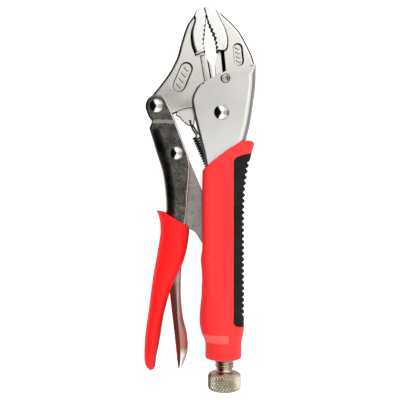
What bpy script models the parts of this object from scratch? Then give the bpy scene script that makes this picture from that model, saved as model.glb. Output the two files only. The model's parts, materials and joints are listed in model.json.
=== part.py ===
"""Locking pliers with curved jaws, a wire cutter, a toggle linkage and sleeved handles.

The tool lies flat. The profile is in the XY plane, with the jaws towards +Y and the fixed handle on the +X
side, and Z is the thickness. The origin is under the middle of the tool, on the surface it lies on.
"""

from math import cos, hypot, pi, radians, sin

import bmesh
import bpy
from mathutils import Vector

# Every length below is in millimetres, and MM turns it into metres.
MM = 0.001
GAP = 0.3

# Pivots in the profile plane.
MAIN_PIVOT = (14.0, 56.7)
LEVER_PIVOT = (-28.1, 61.0)
LINK_PIVOT = (-15.0, 30.2)
RELEASE_PIVOT = (-17.2, -28.0)
TOGGLE_POINT = (16.4, -44.9)
SCREW_X = 16.0

# Half thicknesses, measured from the mid-plane of the tool.
MID_HEIGHT = 12.5
JAW_HALF = 4.0
JAW_FACE_HALF = 6.3
TAB_HALF = 2.0
SHELL_INNER = 4.3
SHELL_OUTER = 7.0
LEVER_TOP_INNER = 4.3
LEVER_TOP_OUTER = 6.3
LEVER_INNER = 5.8
LEVER_OUTER = 7.8
LINK_HALF = 3.0
RELEASE_INNER = 3.0
RELEASE_OUTER = 4.2
GRIP_HALF = 12.5
GRIP_SLOT_HALF = 4.6
RELEASE_SLOT_HALF = 4.9

# Turned pieces: radii and heights.
MAIN_RIVET = {"head": 4.9, "shank": 3.4, "seat": SHELL_OUTER, "top": 9.5}
LEVER_RIVET = {"head": 4.3, "shank": 2.9, "seat": LEVER_TOP_OUTER, "top": 8.3}
LINK_RIVET = {"head": 4.0, "shank": 2.7, "seat": LEVER_OUTER, "top": 9.8}
STAKE_CENTRE = (16.4, 78.7)
STAKE_RADIUS = 2.8
PIN_RADIUS = 1.6
EYE_RADIUS = 9.0
JAW_END_RADIUS = 7.0
LEVER_END_RADIUS = 7.3

# Adjusting screw, knob and the tube that they turn in.
SCREW_RADIUS = 6.2
SPIGOT_RADIUS = 3.0
TOGGLE_GAP = 2.2
SCREW_TIP_Y = TOGGLE_POINT[1] - TOGGLE_GAP
KNOB_RADIUS = 10.6
KNOB_TOP_Y = -112.3
KNOB_END_Y = -124.6
SPIGOT_END_Y = -121.5
BORE_RADIUS = 6.55
TUBE_RADIUS = 8.3
TUBE_TOP_Y = -38.0
TUBE_END_Y = -104.4

# Jaw teeth.
TOOTH_DEPTH = 0.9
TOOTH_COUNT = 8

# Return spring.
SPRING_HOLE = (-6.4, 51.4)
SPRING_ANCHOR = (20.2, -9.6)
SPRING_HOLE_RADIUS = 1.0
SPRING_WIRE_RADIUS = 0.5
SPRING_COIL_RADIUS = 2.7
SPRING_TURNS = 25
SPRING_POINTS_PER_TURN = 8
SPRING_LEAD_TOP = 11.0
SPRING_LEAD_END = 8.0

# Ribs of the soft insert.
NOTCH_PITCH = 3.8
NOTCH_COUNT = 27
NOTCH_FIRST_Y = 24.1
NOTCH_RADIUS = 1.2


# ---------------------------------------------------------------- outlines


def arc(centre, radius, start, end, steps):
    """Points on a circle from one angle to another, in degrees."""
    angles = [radians(start + (end - start) * i / steps) for i in range(steps + 1)]
    return [(centre[0] + radius * cos(a), centre[1] + radius * sin(a)) for a in angles]


def curve(points, steps=3):
    """An open smooth curve (Catmull-Rom) through the points, with the end tangents along the end spans."""
    ends = [points[0], *points, points[-1]]
    found = []
    for i in range(len(points) - 1):
        p0, p1, p2, p3 = (Vector(p) for p in ends[i : i + 4])
        for k in range(steps):
            t = k / steps
            found.append(
                0.5
                * (
                    2 * p1
                    + (p2 - p0) * t
                    + (2 * p0 - 5 * p1 + 4 * p2 - p3) * t * t
                    + (3 * p1 - p0 - 3 * p2 + p3) * t**3
                )
            )
    found.append(Vector(points[-1]))
    return [tuple(p) for p in found]


def at_length(points, fraction):
    """The point and the unit direction at a fraction of a polyline's length."""
    spans = [hypot(b[0] - a[0], b[1] - a[1]) for a, b in zip(points, points[1:])]
    left = fraction * sum(spans)
    for (a, b), span in zip(zip(points, points[1:]), spans):
        if left <= span or b is points[-1]:
            along = Vector((b[0] - a[0], b[1] - a[1])) / span
            return Vector(a) + along * left, along
        left -= span


def toothed(points, side):
    """A saw edge along a curve: tips on the curve, valleys set back by the tooth depth on one side."""
    found = []
    for i in range(2 * TOOTH_COUNT + 1):
        place, along = at_length(points, i / (2 * TOOTH_COUNT))
        depth = TOOTH_DEPTH * (i % 2)
        found.append((place.x + side * along.y * depth, place.y - side * along.x * depth))
    return found


def offset(outline, distance):
    """The closed outline moved outwards by a distance."""
    area = sum(a[0] * b[1] - b[0] * a[1] for a, b in zip(outline, outline[1:] + outline[:1]))
    sign = 1 if area > 0 else -1
    found = []
    for before, here, after in zip(outline[-1:] + outline[:-1], outline, outline[1:] + outline[:1]):
        first = Vector((here[0] - before[0], here[1] - before[1])).normalized()
        second = Vector((after[0] - here[0], after[1] - here[1])).normalized()
        along = (first + second).normalized()
        scale = distance * sign / max(along.dot(first), 0.5)
        found.append((here[0] + along.y * scale, here[1] - along.x * scale))
    return found


# ---------------------------------------------------------------- solids


def material(name, colour, metallic, roughness):
    made = bpy.data.materials.new(name)
    made.use_nodes = True
    shader = made.node_tree.nodes["Principled BSDF"]
    shader.inputs["Base Color"].default_value = (*colour, 1.0)
    shader.inputs["Metallic"].default_value = metallic
    shader.inputs["Roughness"].default_value = roughness
    made.diffuse_color = (*colour, 1.0)
    return made


def solid(name, shape, pivot=(0.0, 0.0)):
    """A new object from a bmesh in millimetres about the mid-plane, with its origin on the pivot."""
    bmesh.ops.recalc_face_normals(shape, faces=shape.faces[:])
    origin = Vector((pivot[0], pivot[1], MID_HEIGHT)) * MM
    for point in shape.verts:
        point.co = (point.co + Vector((0.0, 0.0, MID_HEIGHT))) * MM - origin
    mesh = bpy.data.meshes.new(name)
    shape.to_mesh(mesh)
    shape.free()
    made = bpy.data.objects.new(name, mesh)
    made.location = origin
    bpy.context.scene.collection.objects.link(made)
    return made


def prism(name, outline, low, high, pivot=(0.0, 0.0)):
    """The outline as a plate between two heights from the mid-plane."""
    shape = bmesh.new()
    bottom = [shape.verts.new((x, y, low)) for x, y in outline]
    face = shape.faces.new(bottom)
    grown = bmesh.ops.extrude_face_region(shape, geom=[face])
    moved = [g for g in grown["geom"] if isinstance(g, bmesh.types.BMVert)]
    bmesh.ops.translate(shape, verts=moved, vec=(0.0, 0.0, high - low))
    return solid(name, shape, pivot)


def skinned(name, rings, pivot=(0.0, 0.0)):
    """A closed skin over equal rings of points."""
    shape = bmesh.new()
    loops = [[shape.verts.new(p) for p in ring] for ring in rings]
    for one, two in zip(loops, loops[1:]):
        for i in range(len(one)):
            k = (i + 1) % len(one)
            shape.faces.new((one[i], one[k], two[k], two[i]))
    shape.faces.new(loops[0])
    shape.faces.new(loops[-1])
    return solid(name, shape, pivot)


def sleeve_ring(y, left, right, half, corner, steps=4):
    """A rounded rectangle across the handle at one y."""
    corner = min(corner, (right - left) / 2 - 0.01, half - 0.01)
    ring = []
    for quarter, (cx, cz) in enumerate(
        (
            (right - corner, half - corner),
            (left + corner, half - corner),
            (left + corner, corner - half),
            (right - corner, corner - half),
        )
    ):
        for x, z in arc((cx, cz), corner, 90 * quarter, 90 * quarter + 90, steps):
            ring.append((x, y, z))
    return ring


def turned(name, profile, centre, axis, sides=20, pivot=(0.0, 0.0)):
    """A profile of (radius, place along the axis) turned about an axis along Z or Y."""
    rings = []
    for radius, place in profile:
        ring = []
        for i in range(sides):
            across = radius * cos(2 * pi * i / sides)
            up = radius * sin(2 * pi * i / sides)
            if axis == "Z":
                ring.append((centre[0] + across, centre[1] + up, place))
            else:
                ring.append((centre[0] + across, place, up))
        rings.append(ring)
    made = skinned(name, rings, pivot)
    made.data.shade_smooth()
    made.data.set_sharp_from_angle(angle=radians(35))
    return made


def helper(tool):
    tool.hide_render = True
    tool.display_type = "WIRE"


def combine(target, tool, operation):
    """A Boolean modifier on the target, with the other object kept only as its helper."""
    modifier = target.modifiers.new(tool.name, "BOOLEAN")
    modifier.operation = operation
    modifier.object = tool
    modifier.solver = "EXACT"
    helper(tool)


def cut_hole(target, name, centre, radius, reach=20.0, sides=20):
    hole = turned(name, [(radius, -reach), (radius, reach)], centre, "Z", sides)
    combine(target, hole, "DIFFERENCE")


def paint(target, made):
    target.data.materials.append(made)


# ---------------------------------------------------------------- jaws

FIXED_BITE = [(4.15, 119.9), (5.2, 115.3), (7.2, 110.4), (9.5, 104.9), (10.4, 99.3), (10.5, 97.2)]
MOVABLE_BITE = [(3.8, 120.0), (3.8, 115.1), (3.3, 109.7), (2.6, 103.5), (2.8, 100.6), (3.5, 96.8)]
SHELL_TOP_Y = 84.6


def fixed_jaw(steel):
    """Web between the shell's plates, with the thicker toothed face joined on."""
    back = [(9.0, 123.3), (12.4, 122.5), (17.9, 118.0), (23.0, 112.8), (27.2, 107.3), (33.2, 95.7)]
    back += [(35.3, 89.7), (36.1, 87.9)]
    tang = [(32.7, 86.95), (32.7, 74.0), (29.5, 64.0)]
    seat = arc(MAIN_PIVOT, EYE_RADIUS + 0.7, 20, 118, 7)
    cutter = [(10.3, 80.6), (9.6, 87.5), (10.1, 90.5), (10.9, 94.1), (12.6, 98.0)]
    inside = [(12.4, 103.0), (9.0, 110.0), (6.4, 116.5), (6.0, 122.0)]
    jaw = prism("fixed_jaw", curve(back) + tang + seat + cutter + inside, -JAW_HALF, JAW_HALF)
    ridge = curve([(10.6, 123.3), (13.3, 117.4), (16.5, 111.3), (18.4, 104.1), (18.0, 98.6), (16.4, 96.6)])
    face_outline = toothed(curve(FIXED_BITE), -1)[::-1] + [(2.75, 125.2), (9.7, 124.5)] + ridge
    face = prism("fixed_jaw_face", face_outline, -JAW_FACE_HALF, JAW_FACE_HALF)
    combine(jaw, face, "UNION")
    cut_hole(jaw, "fixed_jaw_stake_hole", STAKE_CENTRE, STAKE_RADIUS + GAP)
    paint(jaw, steel)


def movable_jaw(steel):
    """Web with a round end for the lever, an eye on the main pivot, the toothed face and the spring tab."""
    back = curve(
        [(-3.6, 120.6), (-8.5, 113.6), (-12.4, 102.1), (-15.2, 92.3), (-21.3, 80.9), (-33.0, 66.0)]
    )[:-1]
    end = arc(LEVER_PIVOT, JAW_END_RADIUS, 135, 305, 10)
    belly = [(-17.4, 56.6), (-11.2, 59.2), (-5.4, 60.1), (1.0, 58.8)]
    eye = arc(MAIN_PIVOT, EYE_RADIUS, 190, 495, 18)
    cutter = [(8.4, 80.3), (7.9, 86.8), (7.0, 88.5), (5.1, 91.1), (4.1, 93.6), (1.6, 98.0)]
    inside = [(0.6, 104.0), (1.0, 110.0), (1.4, 117.0), (1.0, 122.0)]
    outline = back + end + belly + eye + cutter + inside
    jaw = prism("movable_jaw", outline, -JAW_HALF, JAW_HALF, MAIN_PIVOT)
    ridge = curve([(-4.3, 119.2), (-3.6, 116.5), (-6.0, 108.5), (-5.6, 100.5), (-3.0, 93.6)])
    tip = [(2.45, 124.6), (-0.3, 124.0), (-2.3, 123.0)]
    face_outline = toothed(curve(MOVABLE_BITE), 1)[::-1] + tip + ridge
    face = prism("movable_jaw_face", face_outline, -JAW_FACE_HALF, JAW_FACE_HALF)
    combine(jaw, face, "UNION")
    tab_end = arc(SPRING_HOLE, 2.9, 230, 370, 6)
    tab_outline = [(-15.9, 55.3), (-13.4, 54.1), (-11.4, 51.6), *tab_end, (-1.5, 61.0), (-14.5, 61.0)]
    tab = prism("movable_jaw_tab", tab_outline, -TAB_HALF, TAB_HALF)
    combine(jaw, tab, "UNION")
    cut_hole(jaw, "movable_jaw_eye", MAIN_PIVOT, MAIN_RIVET["shank"] + GAP)
    cut_hole(jaw, "movable_jaw_lever_hole", LEVER_PIVOT, LEVER_RIVET["shank"] + GAP)
    cut_hole(jaw, "movable_jaw_spring_hole", SPRING_HOLE, SPRING_HOLE_RADIUS, sides=10)
    paint(jaw, steel)


# ---------------------------------------------------------------- fixed handle


def shell_outline():
    """Side plate of the fixed handle: top edge, back, lower end and open side, in that order."""
    top = [(12.2, 81.3), (16.7, 83.6), (28.6, SHELL_TOP_Y)]
    top += [(33.3, SHELL_TOP_Y + 2.1), (36.2, SHELL_TOP_Y + 2.9)]
    back = curve([(36.4, 81.5), (35.9, 72.3), (33.0, 51.6), (30.1, 39.2), (26.3, 24.0), (24.2, 8.0)])
    low = [(23.9, -60.0), (8.1, -60.0)]
    front = curve([(5.2, -40.0), (5.2, 8.0), (3.2, 26.0), (0.3, 38.4), (-3.2, 52.8), (-5.2, 62.8)])
    shoulder = [(-4.7, 67.3), (-3.2, 70.8), (-0.6, 74.5), (3.9, 77.2)]
    return top + back + low + front + shoulder


def channel_cavity():
    """The room between the plates, open to the front and the top."""
    web = [(33.2, 95.0), (33.2, 72.3), (30.3, 51.6), (27.4, 39.2), (23.6, 24.0), (21.5, 8.0), (21.5, -62.0)]
    return web + [(-20.0, -62.0), (-20.0, 95.0)]


def fixed_handle_shell(steel):
    """U-channel closed to a tube round the screw, with a lanced hook for the spring."""
    shell = prism("fixed_handle_shell", shell_outline(), -SHELL_OUTER, SHELL_OUTER)
    screw_axis = (SCREW_X, 0.0)
    tube_profile = [(TUBE_RADIUS - 1.0, TUBE_TOP_Y), (TUBE_RADIUS, TUBE_TOP_Y - 1.5)]
    tube_profile += [(TUBE_RADIUS, TUBE_END_Y)]
    tube = turned("handle_tube", tube_profile, screw_axis, "Y", 24)
    combine(shell, tube, "UNION")
    cavity = prism("handle_cavity", channel_cavity(), -SHELL_INNER, SHELL_INNER)
    combine(shell, cavity, "DIFFERENCE")
    bore_profile = [(BORE_RADIUS, TUBE_TOP_Y + 1.0), (BORE_RADIUS, TUBE_END_Y - 5.0)]
    bore = turned("handle_bore", bore_profile, screw_axis, "Y", 24)
    combine(shell, bore, "DIFFERENCE")
    x, y = SPRING_ANCHOR
    hook_outline = [(x - 2.0, y - 2.0), (x + 2.6, y - 2.6), (x + 2.6, y + 2.0), (x - 2.0, y + 1.6)]
    hook = prism("handle_hook", hook_outline, -1.2, 1.2)
    combine(shell, hook, "UNION")
    cut_hole(shell, "handle_pivot_hole", MAIN_PIVOT, MAIN_RIVET["shank"] + GAP)
    cut_hole(shell, "handle_stake_hole", STAKE_CENTRE, STAKE_RADIUS + GAP)
    cut_hole(shell, "handle_hook_hole", SPRING_ANCHOR, SPRING_HOLE_RADIUS, reach=3.0, sides=10)
    paint(shell, steel)


# y, left, right, half thickness, corner radius
FIXED_SLEEVE = [
    (42.0, 1.8, 37.2, 10.6, 5.5),
    (32.0, 1.7, 34.2, 11.8, 6.5),
    (22.0, 1.6, 31.8, GRIP_HALF, 7.0),
    (8.0, 1.3, 29.7, GRIP_HALF, 7.0),
    (-10.0, 1.3, 28.9, GRIP_HALF, 7.0),
    (-45.0, 0.9, 28.9, GRIP_HALF, 7.0),
    (-62.0, 0.9, 29.1, GRIP_HALF, 7.0),
    (-72.0, -0.1, 28.9, GRIP_HALF, 7.0),
    (-80.0, -0.4, 28.8, GRIP_HALF, 7.5),
    (-85.0, 0.5, 28.9, GRIP_HALF, 9.0),
    (-88.0, 1.4, 28.2, 12.3, 10.0),
    (-91.0, 3.2, 27.2, 11.9, 11.5),
    (-103.4, 3.4, 27.2, 11.9, 11.8),
]
FIXED_SLEEVE_TOP = [(-8.0, 12.0), (1.8, 19.8), (9.8, 26.3), (18.2, 32.8), (25.2, 37.0)]
FIXED_SLEEVE_TOP += [(29.5, 38.3), (33.0, 38.3), (35.2, 37.4), (37.5, 34.5)]
INSERT_CORE = [(-20.0, -95.0), (26.0, -95.0), (26.0, 8.0), (28.4, 22.0), (31.0, 34.0), (31.0, 50.0)]
INSERT_CORE += [(-20.0, 50.0)]
INSERT_CORE_HALF = 9.0


def insert_outline():
    """The soft insert's outline on the sleeve's face, carried past the sleeve's back edge."""
    corner = [(45.0, 33.0), (32.6, 30.0), (27.4, 28.7), (23.8, 27.4), (21.9, 25.4)]
    return corner + [(21.6, -79.0), (23.1, -80.8), (28.6, -82.0), (45.0, -82.0)]


def insert_core(name, shrink):
    outline = offset(INSERT_CORE, -shrink)
    return prism(name, outline, shrink - INSERT_CORE_HALF, INSERT_CORE_HALF - shrink)


def sleeve_skin(name):
    return skinned(name, [sleeve_ring(*station) for station in FIXED_SLEEVE])


def fixed_grip(plastic):
    """Red sleeve, cut for the shell, the link's slot, the tube and the soft insert."""
    grip = sleeve_skin("fixed_grip")
    above = FIXED_SLEEVE_TOP + [(60.0, 34.5), (60.0, 60.0), (-8.0, 60.0)]
    combine(grip, prism("grip_top_cut", above, -20.0, 20.0), "DIFFERENCE")
    clear = SHELL_OUTER + GAP
    channel = prism("grip_channel_cut", offset(shell_outline(), GAP), -clear, clear)
    combine(grip, channel, "DIFFERENCE")
    tube_profile = [(TUBE_RADIUS + GAP, TUBE_TOP_Y + 1.0), (TUBE_RADIUS + GAP, TUBE_END_Y - 5.0)]
    combine(grip, turned("grip_tube_cut", tube_profile, (SCREW_X, 0.0), "Y", 24), "DIFFERENCE")
    slot_outline = [(-10.0, 50.0), (12.0, 50.0), (12.0, -55.0), (-10.0, -55.0)]
    slot = prism("grip_link_slot", slot_outline, -GRIP_SLOT_HALF, GRIP_SLOT_HALF)
    combine(grip, slot, "DIFFERENCE")
    pocket = prism("grip_insert_pocket", offset(insert_outline(), GAP), -20.0, 20.0)
    combine(pocket, insert_core("grip_insert_pocket_core", GAP), "DIFFERENCE")
    combine(grip, pocket, "DIFFERENCE")
    paint(grip, plastic)


def sleeve_back(y):
    """The x of the sleeve's back edge at a y."""
    for high, low in zip(FIXED_SLEEVE, FIXED_SLEEVE[1:]):
        if low[0] <= y <= high[0]:
            share = (high[0] - y) / (high[0] - low[0])
            return high[2] + (low[2] - high[2]) * share
    return FIXED_SLEEVE[-1][2]


def grip_insert(rubber):
    """Black insert: the skin of the sleeve's back, with ribs across its edge."""
    insert = sleeve_skin("grip_insert")
    combine(insert, prism("insert_outline", insert_outline(), -20.0, 20.0), "INTERSECT")
    combine(insert, insert_core("insert_core", 0.0), "DIFFERENCE")
    for i in range(NOTCH_COUNT):
        y = NOTCH_FIRST_Y - i * NOTCH_PITCH
        centre = (sleeve_back(y) + 0.2, y)
        cut_hole(insert, f"insert_notch_{i + 1}", centre, NOTCH_RADIUS, sides=6)
    paint(insert, rubber)


# ---------------------------------------------------------------- lever side


def lever_outline():
    """Side plate of the lever, from the round end down the back to the hidden end and up the open side."""
    end = arc(LEVER_PIVOT, LEVER_END_RADIUS, 10, 195, 10)
    neck = [(-33.3, 54.1), (-31.4, 51.4), (-31.4, 49.4)]
    back = curve(
        [(-33.0, 46.5), (-29.1, 33.1), (-24.8, 19.4), (-22.8, 6.5), (-22.1, -7.5), (-23.3, -25.0)]
        + [(-27.6, -48.0), (-30.5, -74.0), (-32.9, -90.0), (-32.9, -98.0)]
    )
    open_low = [(-30.5, -98.0), (-29.4, -91.0), (-27.4, -82.0), (-24.6, -70.0), (-20.0, -56.0)]
    open_high = [(-10.6, -24.0), (-8.4, -2.3), (-6.8, 15.0), (-6.9, 25.6), (-12.2, 40.9), (-19.1, 59.1)]
    return end + neck + back + open_low + [(-14.5, -40.0)] + curve(open_high)


def lever_cavity():
    """The room between the plates, open to the front, with the web left along the back."""
    back = [(-50.0, 80.0), (-50.0, 47.0), (-30.6, 47.0), (-27.0, 33.8), (-22.7, 19.8), (-20.7, 6.7)]
    back += [(-20.0, -7.5), (-21.2, -25.3), (-25.5, -48.3), (-28.4, -74.2), (-30.8, -90.0), (-30.8, -99.5)]
    return back + [(10.0, -99.5), (10.0, 80.0)]


def movable_handle_shell(steel):
    """U-channel lever: close-set plates on the jaw, a joggle, then wider plates and the web."""
    lever = prism("movable_handle_shell", lever_outline(), -LEVER_OUTER, LEVER_OUTER, LEVER_PIVOT)
    joggle_y = 50.6
    for side, name in ((1, "lever_top_front"), (-1, "lever_top_back")):
        low, high = sorted((side * LEVER_TOP_OUTER, side * 12.0))
        step = prism(name, [(-50.0, joggle_y), (0.0, joggle_y), (0.0, 80.0), (-50.0, 80.0)], low, high)
        combine(lever, step, "DIFFERENCE")
    wide = [(x, min(y, joggle_y - 2.0)) for x, y in lever_cavity()]
    combine(lever, prism("lever_cavity", wide, -LEVER_INNER, LEVER_INNER), "DIFFERENCE")
    narrow = [(-50.0, 46.0), (10.0, 46.0), (10.0, 80.0), (-50.0, 80.0)]
    combine(lever, prism("lever_neck_cavity", narrow, -LEVER_TOP_INNER, LEVER_TOP_INNER), "DIFFERENCE")
    cut_hole(lever, "lever_jaw_hole", LEVER_PIVOT, LEVER_RIVET["shank"] + GAP)
    cut_hole(lever, "lever_link_hole", LINK_PIVOT, LINK_RIVET["shank"] + GAP)
    cut_hole(lever, "lever_pin_hole", RELEASE_PIVOT, PIN_RADIUS + GAP, sides=14)
    paint(lever, steel)


MOVABLE_SLEEVE = [
    (-4.0, -29.7, -7.6, 11.2, 5.0),
    (-11.0, -26.7, -7.2, 12.0, 5.5),
    (-20.0, -25.9, -6.9, GRIP_HALF, 6.0),
    (-31.0, -27.5, -8.3, GRIP_HALF, 6.0),
    (-38.0, -28.6, -10.0, GRIP_HALF, 6.0),
    (-44.0, -29.7, -12.4, GRIP_HALF, 6.0),
    (-51.0, -30.9, -15.5, GRIP_HALF, 6.0),
    (-60.0, -32.0, -19.5, GRIP_HALF, 5.5),
    (-74.0, -33.5, -23.4, GRIP_HALF, 4.9),
    (-84.0, -35.3, -25.2, GRIP_HALF, 4.9),
    (-93.0, -36.0, -26.6, GRIP_HALF, 4.6),
    (-101.0, -36.4, -28.3, 12.0, 4.0),
    (-105.5, -36.0, -29.0, 10.8, 3.0),
    (-108.3, -34.5, -29.5, 8.8, 1.8),
    (-109.8, -32.8, -30.4, 6.6, 0.8),
]
MOVABLE_SLEEVE_TOP = [(-32.0, -4.5), (-28.1, -5.8), (-20.6, -9.6), (-12.9, -14.0), (-8.4, -16.9)]
MOVABLE_SLEEVE_TOP += [(-5.0, -21.0)]


def movable_grip(plastic):
    """Red sleeve of the lever, cut for the channel and for the release lever's slot."""
    grip = skinned("movable_grip", [sleeve_ring(*station) for station in MOVABLE_SLEEVE], LEVER_PIVOT)
    above = MOVABLE_SLEEVE_TOP + [(10.0, -21.0), (10.0, 10.0), (-50.0, 10.0), (-50.0, -4.5)]
    combine(grip, prism("lever_grip_top_cut", above, -20.0, 20.0), "DIFFERENCE")
    clear = LEVER_OUTER + GAP
    channel = prism("lever_grip_channel_cut", offset(lever_outline(), GAP), -clear, clear)
    combine(grip, channel, "DIFFERENCE")
    slot_outline = [(-25.0, 10.0), (10.0, 10.0), (10.0, -84.0), (-28.5, -84.0), (-25.0, -50.0)]
    slot = prism("lever_grip_slot", slot_outline, -RELEASE_SLOT_HALF, RELEASE_SLOT_HALF)
    combine(grip, slot, "DIFFERENCE")
    paint(grip, plastic)


def along_link(u, v):
    """A point u along the line from the lever's rivet to the toggle point, and v to its right."""
    span = Vector(TOGGLE_POINT) - Vector(LINK_PIVOT)
    along = span.normalized()
    place = Vector(LINK_PIVOT) + along * u + Vector((-along.y, along.x)) * v
    return (place.x, place.y)


def toggle_link(steel):
    """Flat bar with a round eye, the release hump on its front edge and a round thrust end."""
    reach = hypot(TOGGLE_POINT[0] - LINK_PIVOT[0], TOGGLE_POINT[1] - LINK_PIVOT[1])
    nose = 4.2
    eye = arc((0.0, 0.0), 6.2, 110, 250, 8)
    rise = [(12.0, -5.6), (29.5, -6.4), (38.8, -11.3), (44.0, -12.9)]
    hump = curve(rise + [(48.0, -11.5), (52.3, -8.6), (58.6, -7.6), (66.0, -5.6), (73.0, -4.4)])
    thrust = arc((reach - nose - 0.3, 0.0), nose, -80, 80, 6)
    rear = [(62.0, 5.4), (40.0, 5.8), (12.0, 5.8)]
    outline = [along_link(u, v) for u, v in eye + hump + thrust + rear]
    link = prism("toggle_link", outline, -LINK_HALF, LINK_HALF, LINK_PIVOT)
    cut_hole(link, "link_hole", LINK_PIVOT, LINK_RIVET["shank"] + GAP)
    paint(link, steel)


def release_lever(steel):
    """Pressed U-shaped lever: a nose towards the link's hump, and a long tail with its web facing right."""
    nose = arc((-12.6, -22.6), 2.3, -20, 120, 4)
    crown = arc(RELEASE_PIVOT, 3.6, 100, 200, 5)
    front = curve([(-21.0, -45.0), (-20.0, -57.0), (-17.9, -75.9), (-16.0, -93.0), (-14.6, -108.0)])
    tip = [(-13.2, -110.2)]
    back = [(-11.4, -108.4), (-8.0, -99.0), (-8.4, -88.3), (-11.2, -76.0), (-12.5, -60.8), (-12.3, -47.1)]
    outline = nose + crown + front + tip + curve(back)
    lever = prism("release_lever", outline, -RELEASE_OUTER, RELEASE_OUTER, RELEASE_PIVOT)
    web = [(-13.6, -109.6), (-9.4, -99.0), (-9.8, -88.3), (-12.6, -76.0), (-13.9, -60.8), (-13.7, -47.1)]
    hollow = curve(web) + [(-10.0, -38.0), (-5.0, -30.0), (-5.0, -15.0), (-40.0, -15.0)]
    hollow += [(-40.0, -112.0), (-15.6, -112.0)]
    combine(lever, prism("release_hollow", hollow, -RELEASE_INNER, RELEASE_INNER), "DIFFERENCE")
    cut_hole(lever, "release_hole", RELEASE_PIVOT, PIN_RADIUS + GAP, sides=14)
    paint(lever, steel)


# ---------------------------------------------------------------- rivets, screw and spring


def domed_rivet(name, centre, size, steel, pivot):
    """A rivet with a low dome on each side and a plain shank between the seats."""
    seat = size["seat"] + GAP
    rise = size["top"] - seat
    dome = [(size["head"] * cos(radians(a)), seat + rise * sin(radians(a))) for a in (0, 25, 50, 75)]
    upper = [(size["shank"], seat), *dome]
    lower = [(radius, -place) for radius, place in reversed(upper)]
    paint(turned(name, lower + upper, centre, "Z", 20, pivot), steel)


def stake(steel):
    reach = SHELL_OUTER
    profile = [(STAKE_RADIUS - 0.5, -reach), (STAKE_RADIUS, 0.5 - reach)]
    profile += [(STAKE_RADIUS, reach - 0.5), (STAKE_RADIUS - 0.5, reach)]
    paint(turned("fixed_jaw_rivet", profile, STAKE_CENTRE, "Z", 18), steel)


def release_pin(steel):
    profile = [(PIN_RADIUS, -LEVER_OUTER), (PIN_RADIUS, LEVER_OUTER)]
    paint(turned("release_lever_pin", profile, RELEASE_PIVOT, "Z", 14, RELEASE_PIVOT), steel)


def adjusting_screw(steel):
    """Shank of the screw, with the spigot that carries the knob."""
    shoulder_y = KNOB_TOP_Y + GAP
    profile = [(SCREW_RADIUS - 1.5, SCREW_TIP_Y), (SCREW_RADIUS, SCREW_TIP_Y - 1.5)]
    profile += [(SCREW_RADIUS, shoulder_y), (SPIGOT_RADIUS, shoulder_y), (SPIGOT_RADIUS, SPIGOT_END_Y + GAP)]
    shank = turned("adjusting_screw", profile, (SCREW_X, 0.0), "Y", 24, (SCREW_X, KNOB_TOP_Y))
    paint(shank, steel)


def knurled_knob(steel):
    """Round knob with soft shoulders and a blind bore for the spigot."""
    soft = 1.6
    bore = SPIGOT_RADIUS + GAP
    profile = [(bore, SPIGOT_END_Y), (bore, KNOB_TOP_Y), (KNOB_RADIUS - 2 * soft, KNOB_TOP_Y)]
    profile += [(KNOB_RADIUS - 0.4 * soft, KNOB_TOP_Y - 0.5 * soft), (KNOB_RADIUS, KNOB_TOP_Y - soft)]
    profile += [(KNOB_RADIUS, KNOB_END_Y + soft), (KNOB_RADIUS - 0.4 * soft, KNOB_END_Y + 0.4 * soft)]
    profile += [(KNOB_RADIUS - 1.4 * soft, KNOB_END_Y)]
    paint(turned("knurled_knob", profile, (SCREW_X, 0.0), "Y", 32, (SCREW_X, KNOB_TOP_Y)), steel)


def spring_path():
    """The wire's centre line: a leg through the tab's hole, the coil, and a leg through the hook's hole."""
    top = Vector((*SPRING_HOLE, 0.0))
    end = Vector((*SPRING_ANCHOR, 0.0))
    axis = (end - top).normalized()
    across = Vector((axis.y, -axis.x, 0.0))
    up = Vector((0.0, 0.0, 1.0))
    first = top + axis * SPRING_LEAD_TOP
    length = (end - top).length - SPRING_LEAD_TOP - SPRING_LEAD_END
    steps = SPRING_TURNS * SPRING_POINTS_PER_TURN
    points = [top - up * 2.6, top + up * 2.4, top + axis * 0.8 + up * 3.0, first + up * 3.0 - axis * 1.5]
    for i in range(steps + 1):
        turn = 2 * pi * i / SPRING_POINTS_PER_TURN
        around = up * cos(turn) + across * sin(turn)
        points.append(first + axis * (length * i / steps) + around * SPRING_COIL_RADIUS)
    points += [end - axis * 6.5 + up * 2.6, end - axis * 0.8 + up * 2.4, end + up * 1.9, end - up * 1.9]
    return points


def return_spring(steel):
    data = bpy.data.curves.new("return_spring", "CURVE")
    data.dimensions = "3D"
    data.bevel_depth = SPRING_WIRE_RADIUS * MM
    data.bevel_resolution = 1
    data.use_fill_caps = True
    points = spring_path()
    wire = data.splines.new("POLY")
    wire.points.add(len(points) - 1)
    origin = Vector((*SPRING_HOLE, MID_HEIGHT)) * MM
    for target, place in zip(wire.points, points):
        target.co = (*((place + Vector((0.0, 0.0, MID_HEIGHT))) * MM - origin), 1.0)
    made = bpy.data.objects.new("return_spring", data)
    made.location = origin
    bpy.context.scene.collection.objects.link(made)
    paint(made, steel)


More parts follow.
